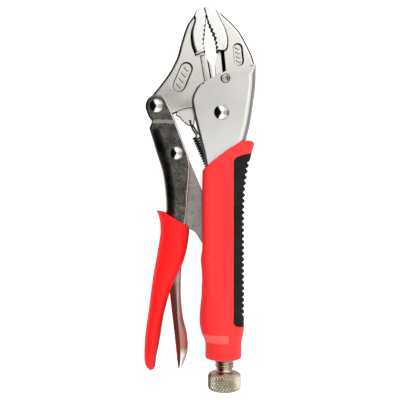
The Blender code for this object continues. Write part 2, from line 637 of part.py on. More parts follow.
def main():
    for old in list(bpy.data.objects):
        bpy.data.objects.remove(old)
    satin = material("satin_nickel", (0.62, 0.60, 0.57), 1.0, 0.35)
    fixed_jaw(satin)
    movable_jaw(material("jaw_nickel", (0.62, 0.60, 0.57), 1.0, 0.35))
    fixed_handle_shell(material("shell_nickel", (0.60, 0.58, 0.55), 1.0, 0.3))
    movable_handle_shell(material("lever_steel", (0.30, 0.29, 0.27), 1.0, 0.4))
    toggle_link(material("link_steel", (0.45, 0.43, 0.40), 1.0, 0.4))
    release_lever(material("release_steel", (0.55, 0.53, 0.50), 1.0, 0.2))
    fixed_grip(material("red_plastic", (0.85, 0.05, 0.05), 0.0, 0.4))
    movable_grip(material("lever_red_plastic", (0.85, 0.03, 0.03), 0.0, 0.4))
    grip_insert(material("black_rubber", (0.02, 0.02, 0.022), 0.0, 0.7))
    polished = material("rivet_steel", (0.65, 0.63, 0.60), 1.0, 0.15)
    domed_rivet("main_pivot_rivet", MAIN_PIVOT, MAIN_RIVET, polished, MAIN_PIVOT)
    domed_rivet("lever_pivot_rivet", LEVER_PIVOT, LEVER_RIVET, polished, LEVER_PIVOT)
    domed_rivet("link_pivot_rivet", LINK_PIVOT, LINK_RIVET, polished, LINK_PIVOT)
    stake(material("stake_steel", (0.50, 0.48, 0.45), 1.0, 0.4))
    release_pin(material("pin_steel", (0.50, 0.48, 0.45), 1.0, 0.3))
    adjusting_screw(material("screw_steel", (0.50, 0.47, 0.42), 1.0, 0.35))
    knurled_knob(material("knob_steel", (0.45, 0.41, 0.35), 1.0, 0.3))
    return_spring(material("spring_steel", (0.35, 0.33, 0.30), 1.0, 0.35))


main()
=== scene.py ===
"""Locking pliers with red sleeved handles: the looks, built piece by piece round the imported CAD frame.

Lengths are in millimetres and heights are measured from the tool's mid-plane, until a mesh is made.
The pivots and the mid-plane come from the frame, and each piece stands for one CAD node.
"""

import json
from math import atan, ceil, cos, hypot, pi, radians, sin

import bmesh
import bpy
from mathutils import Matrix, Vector


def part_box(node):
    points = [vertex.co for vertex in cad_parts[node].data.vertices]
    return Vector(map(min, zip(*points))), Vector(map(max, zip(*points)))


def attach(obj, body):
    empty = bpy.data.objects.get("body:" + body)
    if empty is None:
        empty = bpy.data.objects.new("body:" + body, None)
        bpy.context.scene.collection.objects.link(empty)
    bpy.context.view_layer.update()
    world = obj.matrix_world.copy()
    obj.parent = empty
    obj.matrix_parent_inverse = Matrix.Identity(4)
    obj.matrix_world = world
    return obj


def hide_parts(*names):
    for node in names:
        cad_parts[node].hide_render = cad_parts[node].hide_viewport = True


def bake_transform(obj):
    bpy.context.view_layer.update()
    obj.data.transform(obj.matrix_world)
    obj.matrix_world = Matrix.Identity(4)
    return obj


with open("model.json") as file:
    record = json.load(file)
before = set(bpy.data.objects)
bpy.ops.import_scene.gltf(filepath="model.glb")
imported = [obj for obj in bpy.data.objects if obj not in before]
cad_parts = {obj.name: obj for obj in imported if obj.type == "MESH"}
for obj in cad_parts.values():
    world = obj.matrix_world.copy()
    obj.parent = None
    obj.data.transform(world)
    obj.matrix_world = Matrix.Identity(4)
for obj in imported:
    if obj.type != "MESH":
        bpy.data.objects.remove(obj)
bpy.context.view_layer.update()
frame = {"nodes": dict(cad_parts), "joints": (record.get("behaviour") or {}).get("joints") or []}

MM = 0.001


def pivot(joint_name):
    """The x and y of a joint's axis."""
    place = next(j["pos_m"] for j in frame["joints"] if j["name"] == joint_name)
    return (place[0] / MM, place[1] / MM)


def extent(node):
    """A CAD node's lowest and highest corner, with heights from the mid-plane."""
    low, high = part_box(node)
    return tuple(Vector((p.x / MM, p.y / MM, p.z / MM - MID)) for p in (low, high))


MID = sum(corner.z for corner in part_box("fixed_grip")) / 2 / MM
MAIN_PIVOT = pivot("jaw_open")
LEVER_PIVOT = pivot("lever_open")
LINK_PIVOT = pivot("link_swing")
RELEASE_PIVOT = pivot("release_press")
SCREW_X, KNOB_TOP_Y = pivot("knob_turn")

# Half thicknesses.
JAW_HALF = 4.0
FACE_HALF = extent("fixed_jaw")[1].z
TAB_HALF = 2.0
SHELL_INNER = 4.3
SHELL_OUTER = 7.0
LEVER_TOP_INNER = 4.3
LEVER_TOP_OUTER = 6.3
LEVER_INNER = 5.8
LEVER_OUTER = extent("movable_handle_shell")[1].z
LINK_HALF = extent("toggle_link")[1].z
RELEASE_OUTER = extent("release_lever")[1].z
GRIP_HALF = extent("fixed_grip")[1].z
FIT = 0.15

# Screw, knob and tube.
SCREW_TIP_Y = extent("adjusting_screw")[1].y
SCREW_RADIUS = extent("adjusting_screw")[1].z
KNOB_END_Y = extent("knurled_knob")[0].y
KNOB_RADIUS = extent("knurled_knob")[1].z
BORE_RADIUS = SCREW_RADIUS + 0.35
TUBE_RADIUS = extent("fixed_handle_shell")[1].z
TUBE_TOP_Y = -38.0
TUBE_END_Y = extent("fixed_handle_shell")[0].y
SPIGOT_RADIUS = 3.0
SPIGOT_END_Y = extent("adjusting_screw")[0].y
THREAD_PITCH = 2.0
THREAD_DEPTH = 0.8

# Spring.
SPRING_HOLE = (-6.4, 51.4)
SPRING_ANCHOR = (20.2, -9.6)
WIRE_RADIUS = 0.58
COIL_RADIUS = 2.7
SPRING_TURNS = 27
SPRING_HOLE_RADIUS = 1.0
SPRING_LEAD_TOP = 11.0
SPRING_LEAD_END = 8.0

TOGGLE_POINT = (16.4, -44.9)

# Rivets: radius of the shank, radius of the head, and the height that the head sits on.
MAIN_RIVET = (3.4, 4.9, SHELL_OUTER)
LEVER_RIVET = (2.9, 4.3, LEVER_TOP_OUTER)
LINK_RIVET = (2.7, 4.0, LEVER_OUTER)
PIN_RADIUS = 1.6
CLEARANCE = 0.3
STAKE_CENTRE = (16.4, 78.7)
STAKE_RADIUS = 2.8
TOOTH_DEPTH = 1.15
TOOTH_COUNT = 8


# ---------------------------------------------------------------- outlines


def arc(centre, radius, start, end, steps):
    """Points on a circle from one angle to another, in degrees."""
    angles = [radians(start + (end - start) * i / steps) for i in range(steps + 1)]
    return [(centre[0] + radius * cos(a), centre[1] + radius * sin(a)) for a in angles]


def curve(points, steps=6):
    """An open smooth curve (Catmull-Rom) through the points."""
    ends = [points[0], *points, points[-1]]
    found = []
    for i in range(len(points) - 1):
        p0, p1, p2, p3 = (Vector(p) for p in ends[i : i + 4])
        for k in range(steps):
            t = k / steps
            bend = (2 * p0 - 5 * p1 + 4 * p2 - p3) * t * t
            found.append(0.5 * (2 * p1 + (p2 - p0) * t + bend + (3 * p1 - p0 - 3 * p2 + p3) * t**3))
    found.append(Vector(points[-1]))
    return [tuple(p) for p in found]


def blended(stations, place):
    """The values of a table at a place, by a smooth curve through its rows, whose first value falls."""
    if place >= stations[0][0]:
        return list(stations[0][1:])
    for i in range(len(stations) - 1):
        above, below = stations[i], stations[i + 1]
        if place >= below[0]:
            before = stations[max(i - 1, 0)]
            after = stations[min(i + 2, len(stations) - 1)]
            span = below[0] - above[0]
            t = (place - above[0]) / span
            found = []
            for k in range(1, len(above)):
                rise_in = (below[k] - before[k]) / (below[0] - before[0]) * span
                rise_out = (after[k] - above[k]) / (after[0] - above[0]) * span
                found.append(
                    (2 * t**3 - 3 * t**2 + 1) * above[k]
                    + (t**3 - 2 * t**2 + t) * rise_in
                    + (3 * t**2 - 2 * t**3) * below[k]
                    + (t**3 - t**2) * rise_out
                )
            return found
    return list(stations[-1][1:])


def ease(value, low, high):
    """0 below low, 1 above high, and smooth between them."""
    t = min(max((value - low) / (high - low), 0.0), 1.0)
    return t * t * (3 - 2 * t)


def at_length(points, fraction):
    """The point and the unit direction at a fraction of a polyline's length."""
    spans = [hypot(b[0] - a[0], b[1] - a[1]) for a, b in zip(points, points[1:])]
    left = fraction * sum(spans)
    for (a, b), span in zip(zip(points, points[1:]), spans):
        if left <= span or b is points[-1]:
            along = Vector((b[0] - a[0], b[1] - a[1])) / span
            return Vector(a) + along * left, along
        left -= span


def toothed(points, side):
    """A saw edge along a curve: tips on the curve, valleys set back by the tooth depth on one side."""
    found = []
    for i in range(2 * TOOTH_COUNT + 1):
        place, along = at_length(points, i / (2 * TOOTH_COUNT))
        depth = TOOTH_DEPTH * (i % 2) * (0.35 + 0.65 * ease(i, 1, 7))
        found.append((place.x + side * along.y * depth, place.y - side * along.x * depth))
    return found


def anticlockwise(outline):
    area = sum(a[0] * b[1] - b[0] * a[1] for a, b in zip(outline, outline[1:] + outline[:1]))
    return outline if area > 0 else outline[::-1]


def inset(outline, distances):
    """The anticlockwise outline moved inwards by one distance for each point."""
    found = []
    for i, here in enumerate(outline):
        before, after = outline[i - 1], outline[(i + 1) % len(outline)]
        first = Vector((here[0] - before[0], here[1] - before[1])).normalized()
        second = Vector((after[0] - here[0], after[1] - here[1])).normalized()
        along = (first + second).normalized()
        scale = distances[i] / max(along.dot(first), 0.5)
        found.append((here[0] - along.y * scale, here[1] + along.x * scale))
    return found


def grown(outline, distance):
    outline = anticlockwise(outline)
    return inset(outline, [-distance] * len(outline))


def stadium(centre, length, width, tilt, steps=8):
    """A slot with round ends, whose long axis stands at an angle from +X."""
    reach = (length - width) / 2
    flat = arc((reach, 0.0), width / 2, -90, 90, steps) + arc((-reach, 0.0), width / 2, 90, 270, steps)
    turn = Vector((cos(radians(tilt)), sin(radians(tilt))))
    return [(centre[0] + x * turn.x - y * turn.y, centre[1] + x * turn.y + y * turn.x) for x, y in flat]


# ---------------------------------------------------------------- meshes


def made(name, shape):
    """A new object from a bmesh in millimetres about the mid-plane."""
    bmesh.ops.remove_doubles(shape, verts=shape.verts[:], dist=1e-5)
    bmesh.ops.recalc_face_normals(shape, faces=shape.faces[:])
    for point in shape.verts:
        point.co = (point.co + Vector((0.0, 0.0, MID))) * MM
    mesh = bpy.data.meshes.new(name)
    shape.to_mesh(mesh)
    shape.free()
    created = bpy.data.objects.new(name, mesh)
    bpy.context.scene.collection.objects.link(created)
    return created


def joined(shape, rings):
    """Quads between each ring of points and the next. Gives the rings' vertices."""
    loops = [[shape.verts.new(p) for p in ring] for ring in rings]
    count = len(loops[0])
    for one, two in zip(loops, loops[1:]):
        for i in range(count):
            k = (i + 1) % count
            shape.faces.new((one[i], one[k], two[k], two[i]))
    return loops


def skin(name, rings):
    """A closed skin over equal rings of points, with a flat face over each end."""
    shape = bmesh.new()
    loops = joined(shape, rings)
    shape.faces.new(loops[0])
    shape.faces.new(loops[-1])
    return made(name, shape)


def plate(name, outline, low, high, edge=0.3, steps=4):
    """The outline as a plate between two heights. The radius of its edges may vary with place."""
    outline = anticlockwise(outline)
    radii = [edge(x, y) if callable(edge) else edge for x, y in outline]
    quarter = [radians(90 * i / steps) for i in range(steps + 1)]
    rings = []
    for angle in quarter:
        ring = inset(outline, [r * (1 - sin(angle)) for r in radii])
        rings.append([(x, y, low + r * (1 - cos(angle))) for (x, y), r in zip(ring, radii)])
    for angle in reversed(quarter):
        ring = inset(outline, [r * (1 - sin(angle)) for r in radii])
        rings.append([(x, y, high - r * (1 - cos(angle))) for (x, y), r in zip(ring, radii)])
    return skin(name, rings)


def block(outline, low, high):
    """A plain prism, used only as a cutter."""
    return skin("cutter", [[(x, y, low) for x, y in outline], [(x, y, high) for x, y in outline]])


def turned(name, profile, centre, axis, sides=64):
    """A profile of (radius, place along the axis) turned about an axis along Z or Y."""
    rings = []
    for radius, place in profile:
        ring = []
        for i in range(sides):
            across = radius * cos(2 * pi * i / sides)
            up = radius * sin(2 * pi * i / sides)
            if axis == "Z":
                ring.append((centre[0] + across, centre[1] + up, place))
            else:
                ring.append((centre[0] + across, place, up))
        rings.append(ring)
    return skin(name, rings)


def rod(name, points, radius, sides=10):
    """A round rod along a path in space."""
    path = [Vector(p) for p in points]
    rings = []
    up = Vector((0.0, 0.0, 1.0))
    across = None
    for i, here in enumerate(path):
        along = (path[min(i + 1, len(path) - 1)] - path[max(i - 1, 0)]).normalized()
        if across is None:
            across = along.cross(up if abs(along.z) < 0.9 else Vector((1.0, 0.0, 0.0))).normalized()
        across = (across - along * across.dot(along)).normalized()
        over = across.cross(along)
        angles = [2 * pi * k / sides for k in range(sides)]
        rings.append([tuple(here + (across * cos(a) + over * sin(a)) * radius) for a in angles])
    return skin(name, rings)


def carve(target, tool, operation="DIFFERENCE"):
    """A Boolean of the target with a tool, applied at once."""
    modifier = target.modifiers.new("carve", "BOOLEAN")
    modifier.operation = operation
    modifier.object = tool
    modifier.solver = "EXACT"
    graph = bpy.context.evaluated_depsgraph_get()
    mesh = bpy.data.meshes.new_from_object(target.evaluated_get(graph))
    target.modifiers.clear()
    if not mesh.polygons:
        raise RuntimeError("a Boolean left nothing of " + target.name)
    old = target.data
    target.data = mesh
    bpy.data.meshes.remove(old)
    bpy.data.objects.remove(tool)
    return target


def hole(target, centre, radius, reach=20.0, soft=0.0, top=0.0, sides=40):
    """A round hole through the target, with its rims broken by a small countersink at height top."""
    profile = [(radius, -reach), (radius, reach)]
    if soft:
        wide = radius + 1.6 * soft
        profile = [(wide, -reach), (wide, -top - 0.6 * soft), (radius, soft - top)]
        profile += [(radius, top - soft), (wide, top + 0.6 * soft), (wide, reach)]
    carve(target, turned("cutter", profile, centre, "Z", sides))


def swept(start, end, profile):
    """A bar along a line. Its section is a closed profile of (across, height), across being to the right."""
    a, b = Vector(start), Vector(end)
    along = (b - a).normalized()
    right = Vector((-along.y, along.x)) if -along.y > 0 else Vector((along.y, -along.x))
    rings = []
    for place in (a, b):
        rings.append([(place.x + right.x * u, place.y + right.y * u, z) for u, z in profile])
    return skin("cutter", rings)


def smooth_shaded(target, sharp=32):
    target.data.shade_smooth()
    target.data.set_sharp_from_angle(angle=radians(sharp))
    weighted = target.modifiers.new("weighted", "WEIGHTED_NORMAL")
    weighted.keep_sharp = True
    weighted.weight = 80


def dress(target, body, node, surface, sharp=32):
    """Finishes a piece: its shading, its material, its body and the CAD node that it stands for."""
    smooth_shaded(target, sharp)
    target.data.materials.clear()
    target.data.materials.append(surface)
    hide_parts(node)
    if body:
        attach(target, body)


# ---------------------------------------------------------------- materials


class Nodes:
    """A node tree under construction."""

    def __init__(self, tree):
        self.tree = tree

    def node(self, kind, **settings):
        created = self.tree.nodes.new(kind)
        for key, value in settings.items():
            setattr(created, key, value)
        return created

    def link(self, source, target):
        self.tree.links.new(source, target)

    def feed(self, value, socket):
        """Gives a socket another socket, a colour or a number."""
        if isinstance(value, bpy.types.NodeSocket):
            self.link(value, socket)
        elif isinstance(value, tuple):
            socket.default_value = (*value, 1.0)
        else:
            socket.default_value = value

    def part(self, source, axis):
        """One component of a vector."""
        split = self.node("ShaderNodeSeparateXYZ")
        self.link(source, split.inputs["Vector"])
        return split.outputs[axis]

    def math(self, operation, *values):
        made_math = self.node("ShaderNodeMath", operation=operation)
        for socket, value in zip(made_math.inputs, values):
            self.feed(value, socket)
        return made_math.outputs["Value"]

    def spread(self, source, low, high, to_low=0.0, to_high=1.0):
        """A value mapped from one range to another, clamped."""
        ranged = self.node("ShaderNodeMapRange")
        self.link(source, ranged.inputs["Value"])
        for key, value in zip(("From Min", "From Max", "To Min", "To Max"), (low, high, to_low, to_high)):
            ranged.inputs[key].default_value = value
        return ranged.outputs["Result"]

    def ramp(self, source, *stops):
        """Colours by value: each stop is (place, colour)."""
        made_ramp = self.node("ShaderNodeValToRGB")
        self.link(source, made_ramp.inputs["Fac"])
        elements = made_ramp.color_ramp.elements
        while len(elements) < len(stops):
            elements.new(0.5)
        for element, (place, colour) in zip(elements, stops):
            element.position = place
            element.color = (*colour, 1.0)
        return made_ramp.outputs["Color"]

    def mix(self, share, one, two, mode="MIX"):
        """Two colours mixed."""
        mixed = self.node("ShaderNodeMix", data_type="RGBA", blend_type=mode)
        for socket, value in ((mixed.inputs[0], share), (mixed.inputs[6], one), (mixed.inputs[7], two)):
            self.feed(value, socket)
        return mixed.outputs[2]


class Surface(Nodes):
    """A Principled material under construction, with its procedural nodes."""

    def __init__(self, name, metallic, roughness):
        self.material = bpy.data.materials.new(name)
        self.material.use_nodes = True
        super().__init__(self.material.node_tree)
        self.shader = self.tree.nodes["Principled BSDF"]
        self.shader.inputs["Metallic"].default_value = metallic
        self.shader.inputs["Roughness"].default_value = roughness
        self.coords = self.node("ShaderNodeTexCoord").outputs["Object"]

    def noise(self, size, detail=3.0, rough=0.5, stretch=(1.0, 1.0, 1.0)):
        """Noise whose features are about size millimetres across."""
        mapping = self.node("ShaderNodeMapping")
        self.link(self.coords, mapping.inputs["Vector"])
        mapping.inputs["Scale"].default_value = stretch
        made_noise = self.node("ShaderNodeTexNoise")
        self.link(mapping.outputs["Vector"], made_noise.inputs["Vector"])
        made_noise.inputs["Scale"].default_value = 0.5 / (size * MM)
        made_noise.inputs["Detail"].default_value = detail
        made_noise.inputs["Roughness"].default_value = rough
        return made_noise.outputs["Fac"]

    def along(self, axis, low, high):
        """0 to 1 along an axis of space, between two places in millimetres."""
        return self.spread(self.part(self.coords, axis), low * MM, high * MM)

    def above(self, height):
        """1 where a point is further than a height from the mid-plane, and 0 nearer."""
        away = self.math("ABSOLUTE", self.math("SUBTRACT", self.part(self.coords, "Z"), MID * MM))
        return self.spread(away, (height - 0.3) * MM, (height + 0.3) * MM)

    def sideways(self, start, end):
        """0 where the surface lies flatter than a tilt in degrees, and 1 where it is steeper than another."""
        normal = self.node("ShaderNodeNewGeometry").outputs["Normal"]
        upward = self.math("ABSOLUTE", self.part(normal, "Z"))
        return self.spread(upward, cos(radians(start)), cos(radians(end)))

    def facing(self, axis, low, high):
        """0 to 1 as the piece's own normal turns along an axis, between two of its values."""
        normal = self.node("ShaderNodeTexCoord").outputs["Normal"]
        return self.spread(self.part(normal, axis), low, high)

    def colour(self, source):
        self.link(source, self.shader.inputs["Base Color"])

    def roughness(self, source):
        self.link(source, self.shader.inputs["Roughness"])

    def bump(self, *heights):
        """Bumps in series: each is (source, strength, height in millimetres)."""
        normal = None
        for source, strength, height in heights:
            made_bump = self.node("ShaderNodeBump")
            made_bump.inputs["Strength"].default_value = strength
            made_bump.inputs["Distance"].default_value = height * MM
            self.link(source, made_bump.inputs["Height"])
            if normal:
                self.link(normal, made_bump.inputs["Normal"])
            normal = made_bump.outputs["Normal"]
        self.link(normal, self.shader.inputs["Normal"])


def plated(
    name,
    dark,
    light,
    roughness,
    blotch=6.0,
    grain=0.35,
    pits=0.0,
    relief=0.05,
    painted_light_fades=(),
    painted_edge_shade=None,
    ground=None,
    edges=(),
    speckle=0.28,
    grazing=1.0,
    metallic=1.0,
):
    """Plated steel: a cloudy tone, a fine cast or tumbled grain, uneven gloss and optional dark pits.

    painted_light_fades: painted light, changes towards a colour between two places on an axis.
    flank: the painted shade of the rounded edges, the tilts at which it begins and is full, and of the
    upright sides.
    ground: a height from the mid-plane, and the colour of the faces that stand further out than it.
    edges: painted light and shade, the colours of the sides that face along an axis.
    speckle: how far the grain darkens the tone.
    grazing: how much light the steel returns at a glance.
    """
    surface = Surface(name, metallic, roughness)
    cloud = surface.noise(blotch, 4.0, 0.6)
    tone = surface.ramp(cloud, (0.3, dark), (0.7, light))
    fine = surface.noise(grain, 4.0, 0.65)
    tone = surface.mix(surface.spread(fine, 0.35, 0.65, 0.0, speckle), tone, dark)
    if pits:
        spots = surface.spread(surface.noise(grain * 2.2, 2.0, 0.5), 0.62, 0.72, 0.0, pits)
        tone = surface.mix(spots, tone, tuple(c * 0.35 for c in dark))
    # Painted light: colour bands along an axis stand in for highlights and reflections.
    for axis, low, high, colour in painted_light_fades:
        tone = surface.mix(surface.along(axis, low, high), tone, colour)
    # The faces further out than a height from the mid-plane take another colour.
    if ground:
        height, colour = ground
        tone = surface.mix(surface.above(height), tone, colour)
    # Painted shade: the dark colour bend on rounded edges and the colour side on upright sides stand in for
    # the dark surroundings that they would reflect.
    if painted_edge_shade:
        bend, start, end, side = painted_edge_shade
        tone = surface.mix(surface.sideways(start, end), tone, bend)
        tone = surface.mix(surface.sideways(70.0, 80.0), tone, side)
    # Painted light and shade: the sides that face along an axis take lighter or darker colours, as highlights
    # and reflections would.
    for axis, low, high, colour in edges:
        tone = surface.mix(surface.facing(axis, low, high), tone, colour)
    surface.colour(tone)
    surface.roughness(surface.spread(cloud, 0.3, 0.7, roughness - 0.06, roughness + 0.08))
    surface.bump((cloud, 0.15, relief * 2), (fine, 0.35, relief))
    surface.shader.inputs["Specular Tint"].default_value = (grazing, grazing, grazing, 1.0)
    return surface.material


def red_plastic(name, colour, deep, band=None, edge=None):
    """Moulded vinyl: a fine satin skin, slight tone shifts and faint flow marks along the handle.

    band: two places on Y between which the plastic is paler, the band's end on X, and the paler colour.
    edge: the painted shade of the side that faces along +X.
    """
    surface = Surface(name, 0.0, 0.42)
    cloud = surface.noise(14.0, 3.0, 0.5, stretch=(1.0, 0.35, 1.0))
    skin_grain = surface.noise(0.28, 3.0, 0.6)
    tone = surface.mix(surface.spread(cloud, 0.35, 0.7, 0.0, 0.35), colour, deep)
    if band:
        low, high, right, pale = band
        pale = surface.mix(surface.along("Y", low - 0.3, low + 0.3), tone, pale)
        pale = surface.mix(surface.along("X", right + 0.6, right), tone, pale)
        tone = surface.mix(surface.along("Y", high + 0.3, high - 0.3), tone, pale)
    if edge:
        # Painted shade: the side that faces along +X darkens.
        tone = surface.mix(surface.facing("X", 0.85, 0.95), tone, edge)
    surface.colour(tone)
    surface.roughness(surface.spread(skin_grain, 0.3, 0.7, 0.36, 0.5))
    surface.shader.inputs["Specular IOR Level"].default_value = 0.2
    surface.bump((cloud, 0.12, 0.2), (skin_grain, 0.25, 0.03))
    return surface.material


def black_rubber():
    surface = Surface("visual_black_rubber", 0.0, 0.62)
    cloud = surface.noise(5.0, 4.0, 0.6)
    grain = surface.noise(0.3, 3.0, 0.7)
    tone = surface.ramp(cloud, (0.3, (0.006, 0.007, 0.007)), (0.75, (0.013, 0.015, 0.015)))
    surface.colour(tone)
    surface.roughness(surface.spread(grain, 0.3, 0.7, 0.5, 0.75))
    surface.shader.inputs["Specular IOR Level"].default_value = 0.12
    surface.bump((grain, 0.4, 0.05),)
    return surface.material


def polished_steel():
    """Bright headed rivets, with painted shade on the side of the dome that faces +X."""
    surface = Surface("visual_rivet_steel", 1.0, 0.09)
    cloud = surface.noise(2.5, 3.0, 0.5)
    tone = surface.ramp(cloud, (0.35, (0.70, 0.68, 0.64)), (0.65, (0.84, 0.82, 0.79)))
    # Painted shade: the side of the dome that faces +X is darker.
    surface.colour(surface.mix(surface.facing("X", 0.05, 0.25), tone, (0.42, 0.40, 0.37)))
    scuff = surface.noise(0.2, 3.0, 0.6)
    surface.roughness(surface.spread(scuff, 0.35, 0.7, 0.06, 0.16))
    surface.bump((cloud, 0.12, 0.06),)
    return surface.material


# ---------------------------------------------------------------- jaws

FIXED_BITE = [(4.15, 119.9), (5.2, 115.3), (7.2, 110.4), (9.5, 104.9), (10.4, 99.3), (10.5, 97.2)]
MOVABLE_BITE = [(3.8, 120.0), (3.8, 115.1), (3.3, 109.7), (2.6, 103.5), (2.8, 100.6), (3.5, 96.8)]
FIXED_RIDGE = [(10.6, 123.3), (13.3, 117.4), (16.5, 111.3), (18.4, 104.1), (18.0, 98.6), (16.4, 96.6)]
MOVABLE_RIDGE = [(-4.3, 119.2), (-3.6, 116.5), (-6.0, 108.5), (-5.6, 100.5), (-3.0, 93.6)]
EYE_RADIUS = 9.0


def stamped_oval(target, centre, length, width, tilt, depth=1.5):
    """A slot-shaped recess on both faces, its right wall the gentler one, with plain raised bars in it."""
    rim = anticlockwise(stadium(centre, length, width, tilt))
    bottom = [(x - 0.35, y - 0.1) for x, y in inset(rim, [0.75] * len(rim))]

    for side in (1, -1):
        rings = []
        for outline, height in ((bottom, JAW_HALF - depth), (rim, JAW_HALF + 0.05), (rim, JAW_HALF + 2.0)):
            rings.append([(x, y, side * height) for x, y in outline])
        carve(target, skin("cutter", rings))
    along = Vector((cos(radians(tilt)), sin(radians(tilt))))
    bars = 4
    for side in (1, -1):
        for i in range(bars):
            shift = (i - (bars - 1) / 2) * (length - width) / (bars - 1)
            place = (centre[0] + along.x * shift - 0.3, centre[1] + along.y * shift)
            low, high = sorted((side * (JAW_HALF - depth - 0.4), side * (JAW_HALF - depth + 0.85)))
            bar = plate("bar", stadium(place, width * 0.5, 1.25, tilt + 62, 4), low, high, 0.35, 3)
            carve(target, bar, "UNION")


def face_plate(bite, tooth_side, tip, ridge, belly):
    """The thick toothed part of a jaw. belly is how much rounder its ridge is low down than at the top."""
    ridge_line = curve(ridge)
    ridge_line = ridge_line[:1] + ridge_line[4:]
    teeth = toothed(curve(bite), tooth_side)[::-1]
    radii = dict.fromkeys(teeth, 0.3)
    for i, point in enumerate(ridge_line):
        share = i / (len(ridge_line) - 1)
        radii[point] = 1.15 + belly * ease(share, 0.0, 0.65) * (1 - ease(share, 0.9, 1.0))
    return plate(
        "face", teeth + tip + ridge_line, -FACE_HALF, FACE_HALF, lambda x, y: radii.get((x, y), 0.6), 6
    )


def fixed_jaw():
    """Forged upper jaw: web between the shell's plates, toothed face, wire cutter and stamped oval."""
    back = [(9.0, 123.3), (12.4, 122.5), (17.9, 118.0), (23.0, 112.8), (27.2, 107.3), (33.2, 95.7)]
    back += [(35.3, 89.7), (36.1, 87.9)]
    tang = [(32.7, 86.95), (32.7, 74.0), (29.5, 64.0)]
    seat = arc(MAIN_PIVOT, EYE_RADIUS + 0.7, 20, 118, 12)
    cutter = [(10.3, 80.6), (9.6, 87.5), (10.1, 90.5), (10.9, 94.1), (12.6, 98.0)]
    inside = [(12.4, 103.0), (9.0, 110.0), (6.4, 116.5), (6.0, 122.0)]
    jaw = plate(
        "looks_fixed_jaw",
        curve(back) + tang + seat + cutter + inside,
        -JAW_HALF,
        JAW_HALF,
        lambda x, y: 1.9 * ease(y, 86.5, 89.5) + 0.3 if x > 14.0 else 0.9 if y < 92.0 else 0.3,
    )
    for side in (1, -1):
        profile = [(0.8, side * 7.0), (0.8, side * 4.05), (-1.6, side * 1.5), (-6.0, side * 1.7)]
        profile += [(-8.0, side * 0.5), (-13.0, side * 0.4), (-13.0, side * 7.0)]
        carve(jaw, swept((15.0, 97.0), (16.9, 76.5), profile))
    tip = [(2.75, 125.2), (9.7, 124.5)]
    carve(jaw, face_plate(FIXED_BITE, -1, tip, FIXED_RIDGE, 0.5), "UNION")
    stamped_oval(jaw, (25.0, 94.6), 15.0, 6.5, 96.0)
    hole(jaw, STAKE_CENTRE, STAKE_RADIUS + CLEARANCE)
    return jaw


def movable_jaw():
    """Forged lower jaw: round end for the lever, eye on the pivot, face, cutter, oval and spring tab."""
    back = [(-3.6, 120.6), (-8.5, 113.6), (-12.4, 102.1), (-15.2, 92.3), (-21.3, 80.9), (-33.0, 66.0)]
    end = arc(LEVER_PIVOT, 7.0, 135, 305, 24)
    belly = [(-17.4, 56.6), (-11.2, 59.2), (-5.4, 60.1), (1.0, 58.8)]
    eye = arc(MAIN_PIVOT, EYE_RADIUS, 190, 495, 40)
    cutter = [(8.4, 80.3), (7.9, 86.8), (7.0, 88.5), (5.1, 91.1), (4.1, 93.6), (1.6, 98.0)]
    inside = [(0.6, 104.0), (1.0, 110.0), (1.4, 117.0), (1.0, 122.0)]
    jaw = plate(
        "looks_movable_jaw",
        curve(back)[:-1] + end + curve(belly) + eye + cutter + inside,
        -JAW_HALF,
        JAW_HALF,
        lambda x, y: 1.9 if x < -2.5 and y > 62.0 else 0.5 if x < 2.0 else 1.1 if y < 92.0 else 0.3,
    )
    for side in (1, -1):
        profile = [(-0.7, side * 7.0), (-0.7, side * 4.05), (0.1, side * 3.1), (3.6, side * 1.9)]
        profile += [(4.6, side * 0.4), (12.0, side * 0.4), (12.0, side * 7.0)]
        carve(jaw, swept((0.5, 94.0), (3.6, 75.5), profile))
    tip = [(2.45, 124.6), (-0.3, 124.0), (-2.3, 123.0)]
    carve(jaw, face_plate(MOVABLE_BITE, 1, tip, MOVABLE_RIDGE, 1.4), "UNION")
    stamped_oval(jaw, (-11.1, 80.0), 20.6, 8.6, 67.3)
    tab_end = arc(SPRING_HOLE, 2.9, 230, 370, 12)
    tab_outline = curve([(-15.9, 55.3), (-13.4, 54.1), (-11.4, 51.6), tab_end[0]])[:-1] + tab_end
    tab_outline += [(-1.5, 61.0), (-14.5, 61.0)]
    tab = plate("tab", tab_outline, -TAB_HALF, TAB_HALF, 0.6)
    hole(tab, SPRING_HOLE, SPRING_HOLE_RADIUS, sides=24)
    carve(jaw, tab, "UNION")
    hole(jaw, MAIN_PIVOT, MAIN_RIVET[0] + CLEARANCE)
    hole(jaw, LEVER_PIVOT, LEVER_RIVET[0] + CLEARANCE)
    return jaw


# ---------------------------------------------------------------- fixed handle


def shell_outline():
    """Side plate of the fixed handle: top edge, back, lower end and open side, in that order."""
    top = [(12.2, 81.3), (16.7, 83.6), (28.6, 84.6), (33.3, 86.7), (36.2, 87.5)]
    back = curve([(36.4, 81.5), (35.9, 72.3), (33.0, 51.6), (30.1, 39.2), (26.3, 24.0), (24.2, 8.0)])
    low = [(23.9, -60.0), (8.1, -60.0)]
    front = [(5.2, -40.0), (5.2, 8.0), (3.2, 26.0), (0.3, 38.4), (-3.2, 52.8), (-5.2, 62.8)]
    shoulder = [(-4.7, 67.3), (-3.2, 70.8), (-0.6, 74.5), (3.9, 77.2), (8.2, 79.3)]
    return top + back + low + curve(front + shoulder)


def shell_edge(x, y):
    """A tight press radius on the open side, and the wide bend of the web along the back."""
    if x > 20.0 and y < 84.0:
        return 5.0
    return 0.7 if y > 76.0 else 1.6


def channel_cavity():
    """The room between the plates, open to the front and the top."""
    web = [(33.2, 95.0), (33.2, 72.3), (30.3, 51.6), (27.4, 39.2), (23.6, 24.0), (21.5, 8.0)]
    return curve([*web, (21.5, -62.0)]) + [(-20.0, -62.0), (-20.0, 95.0)]


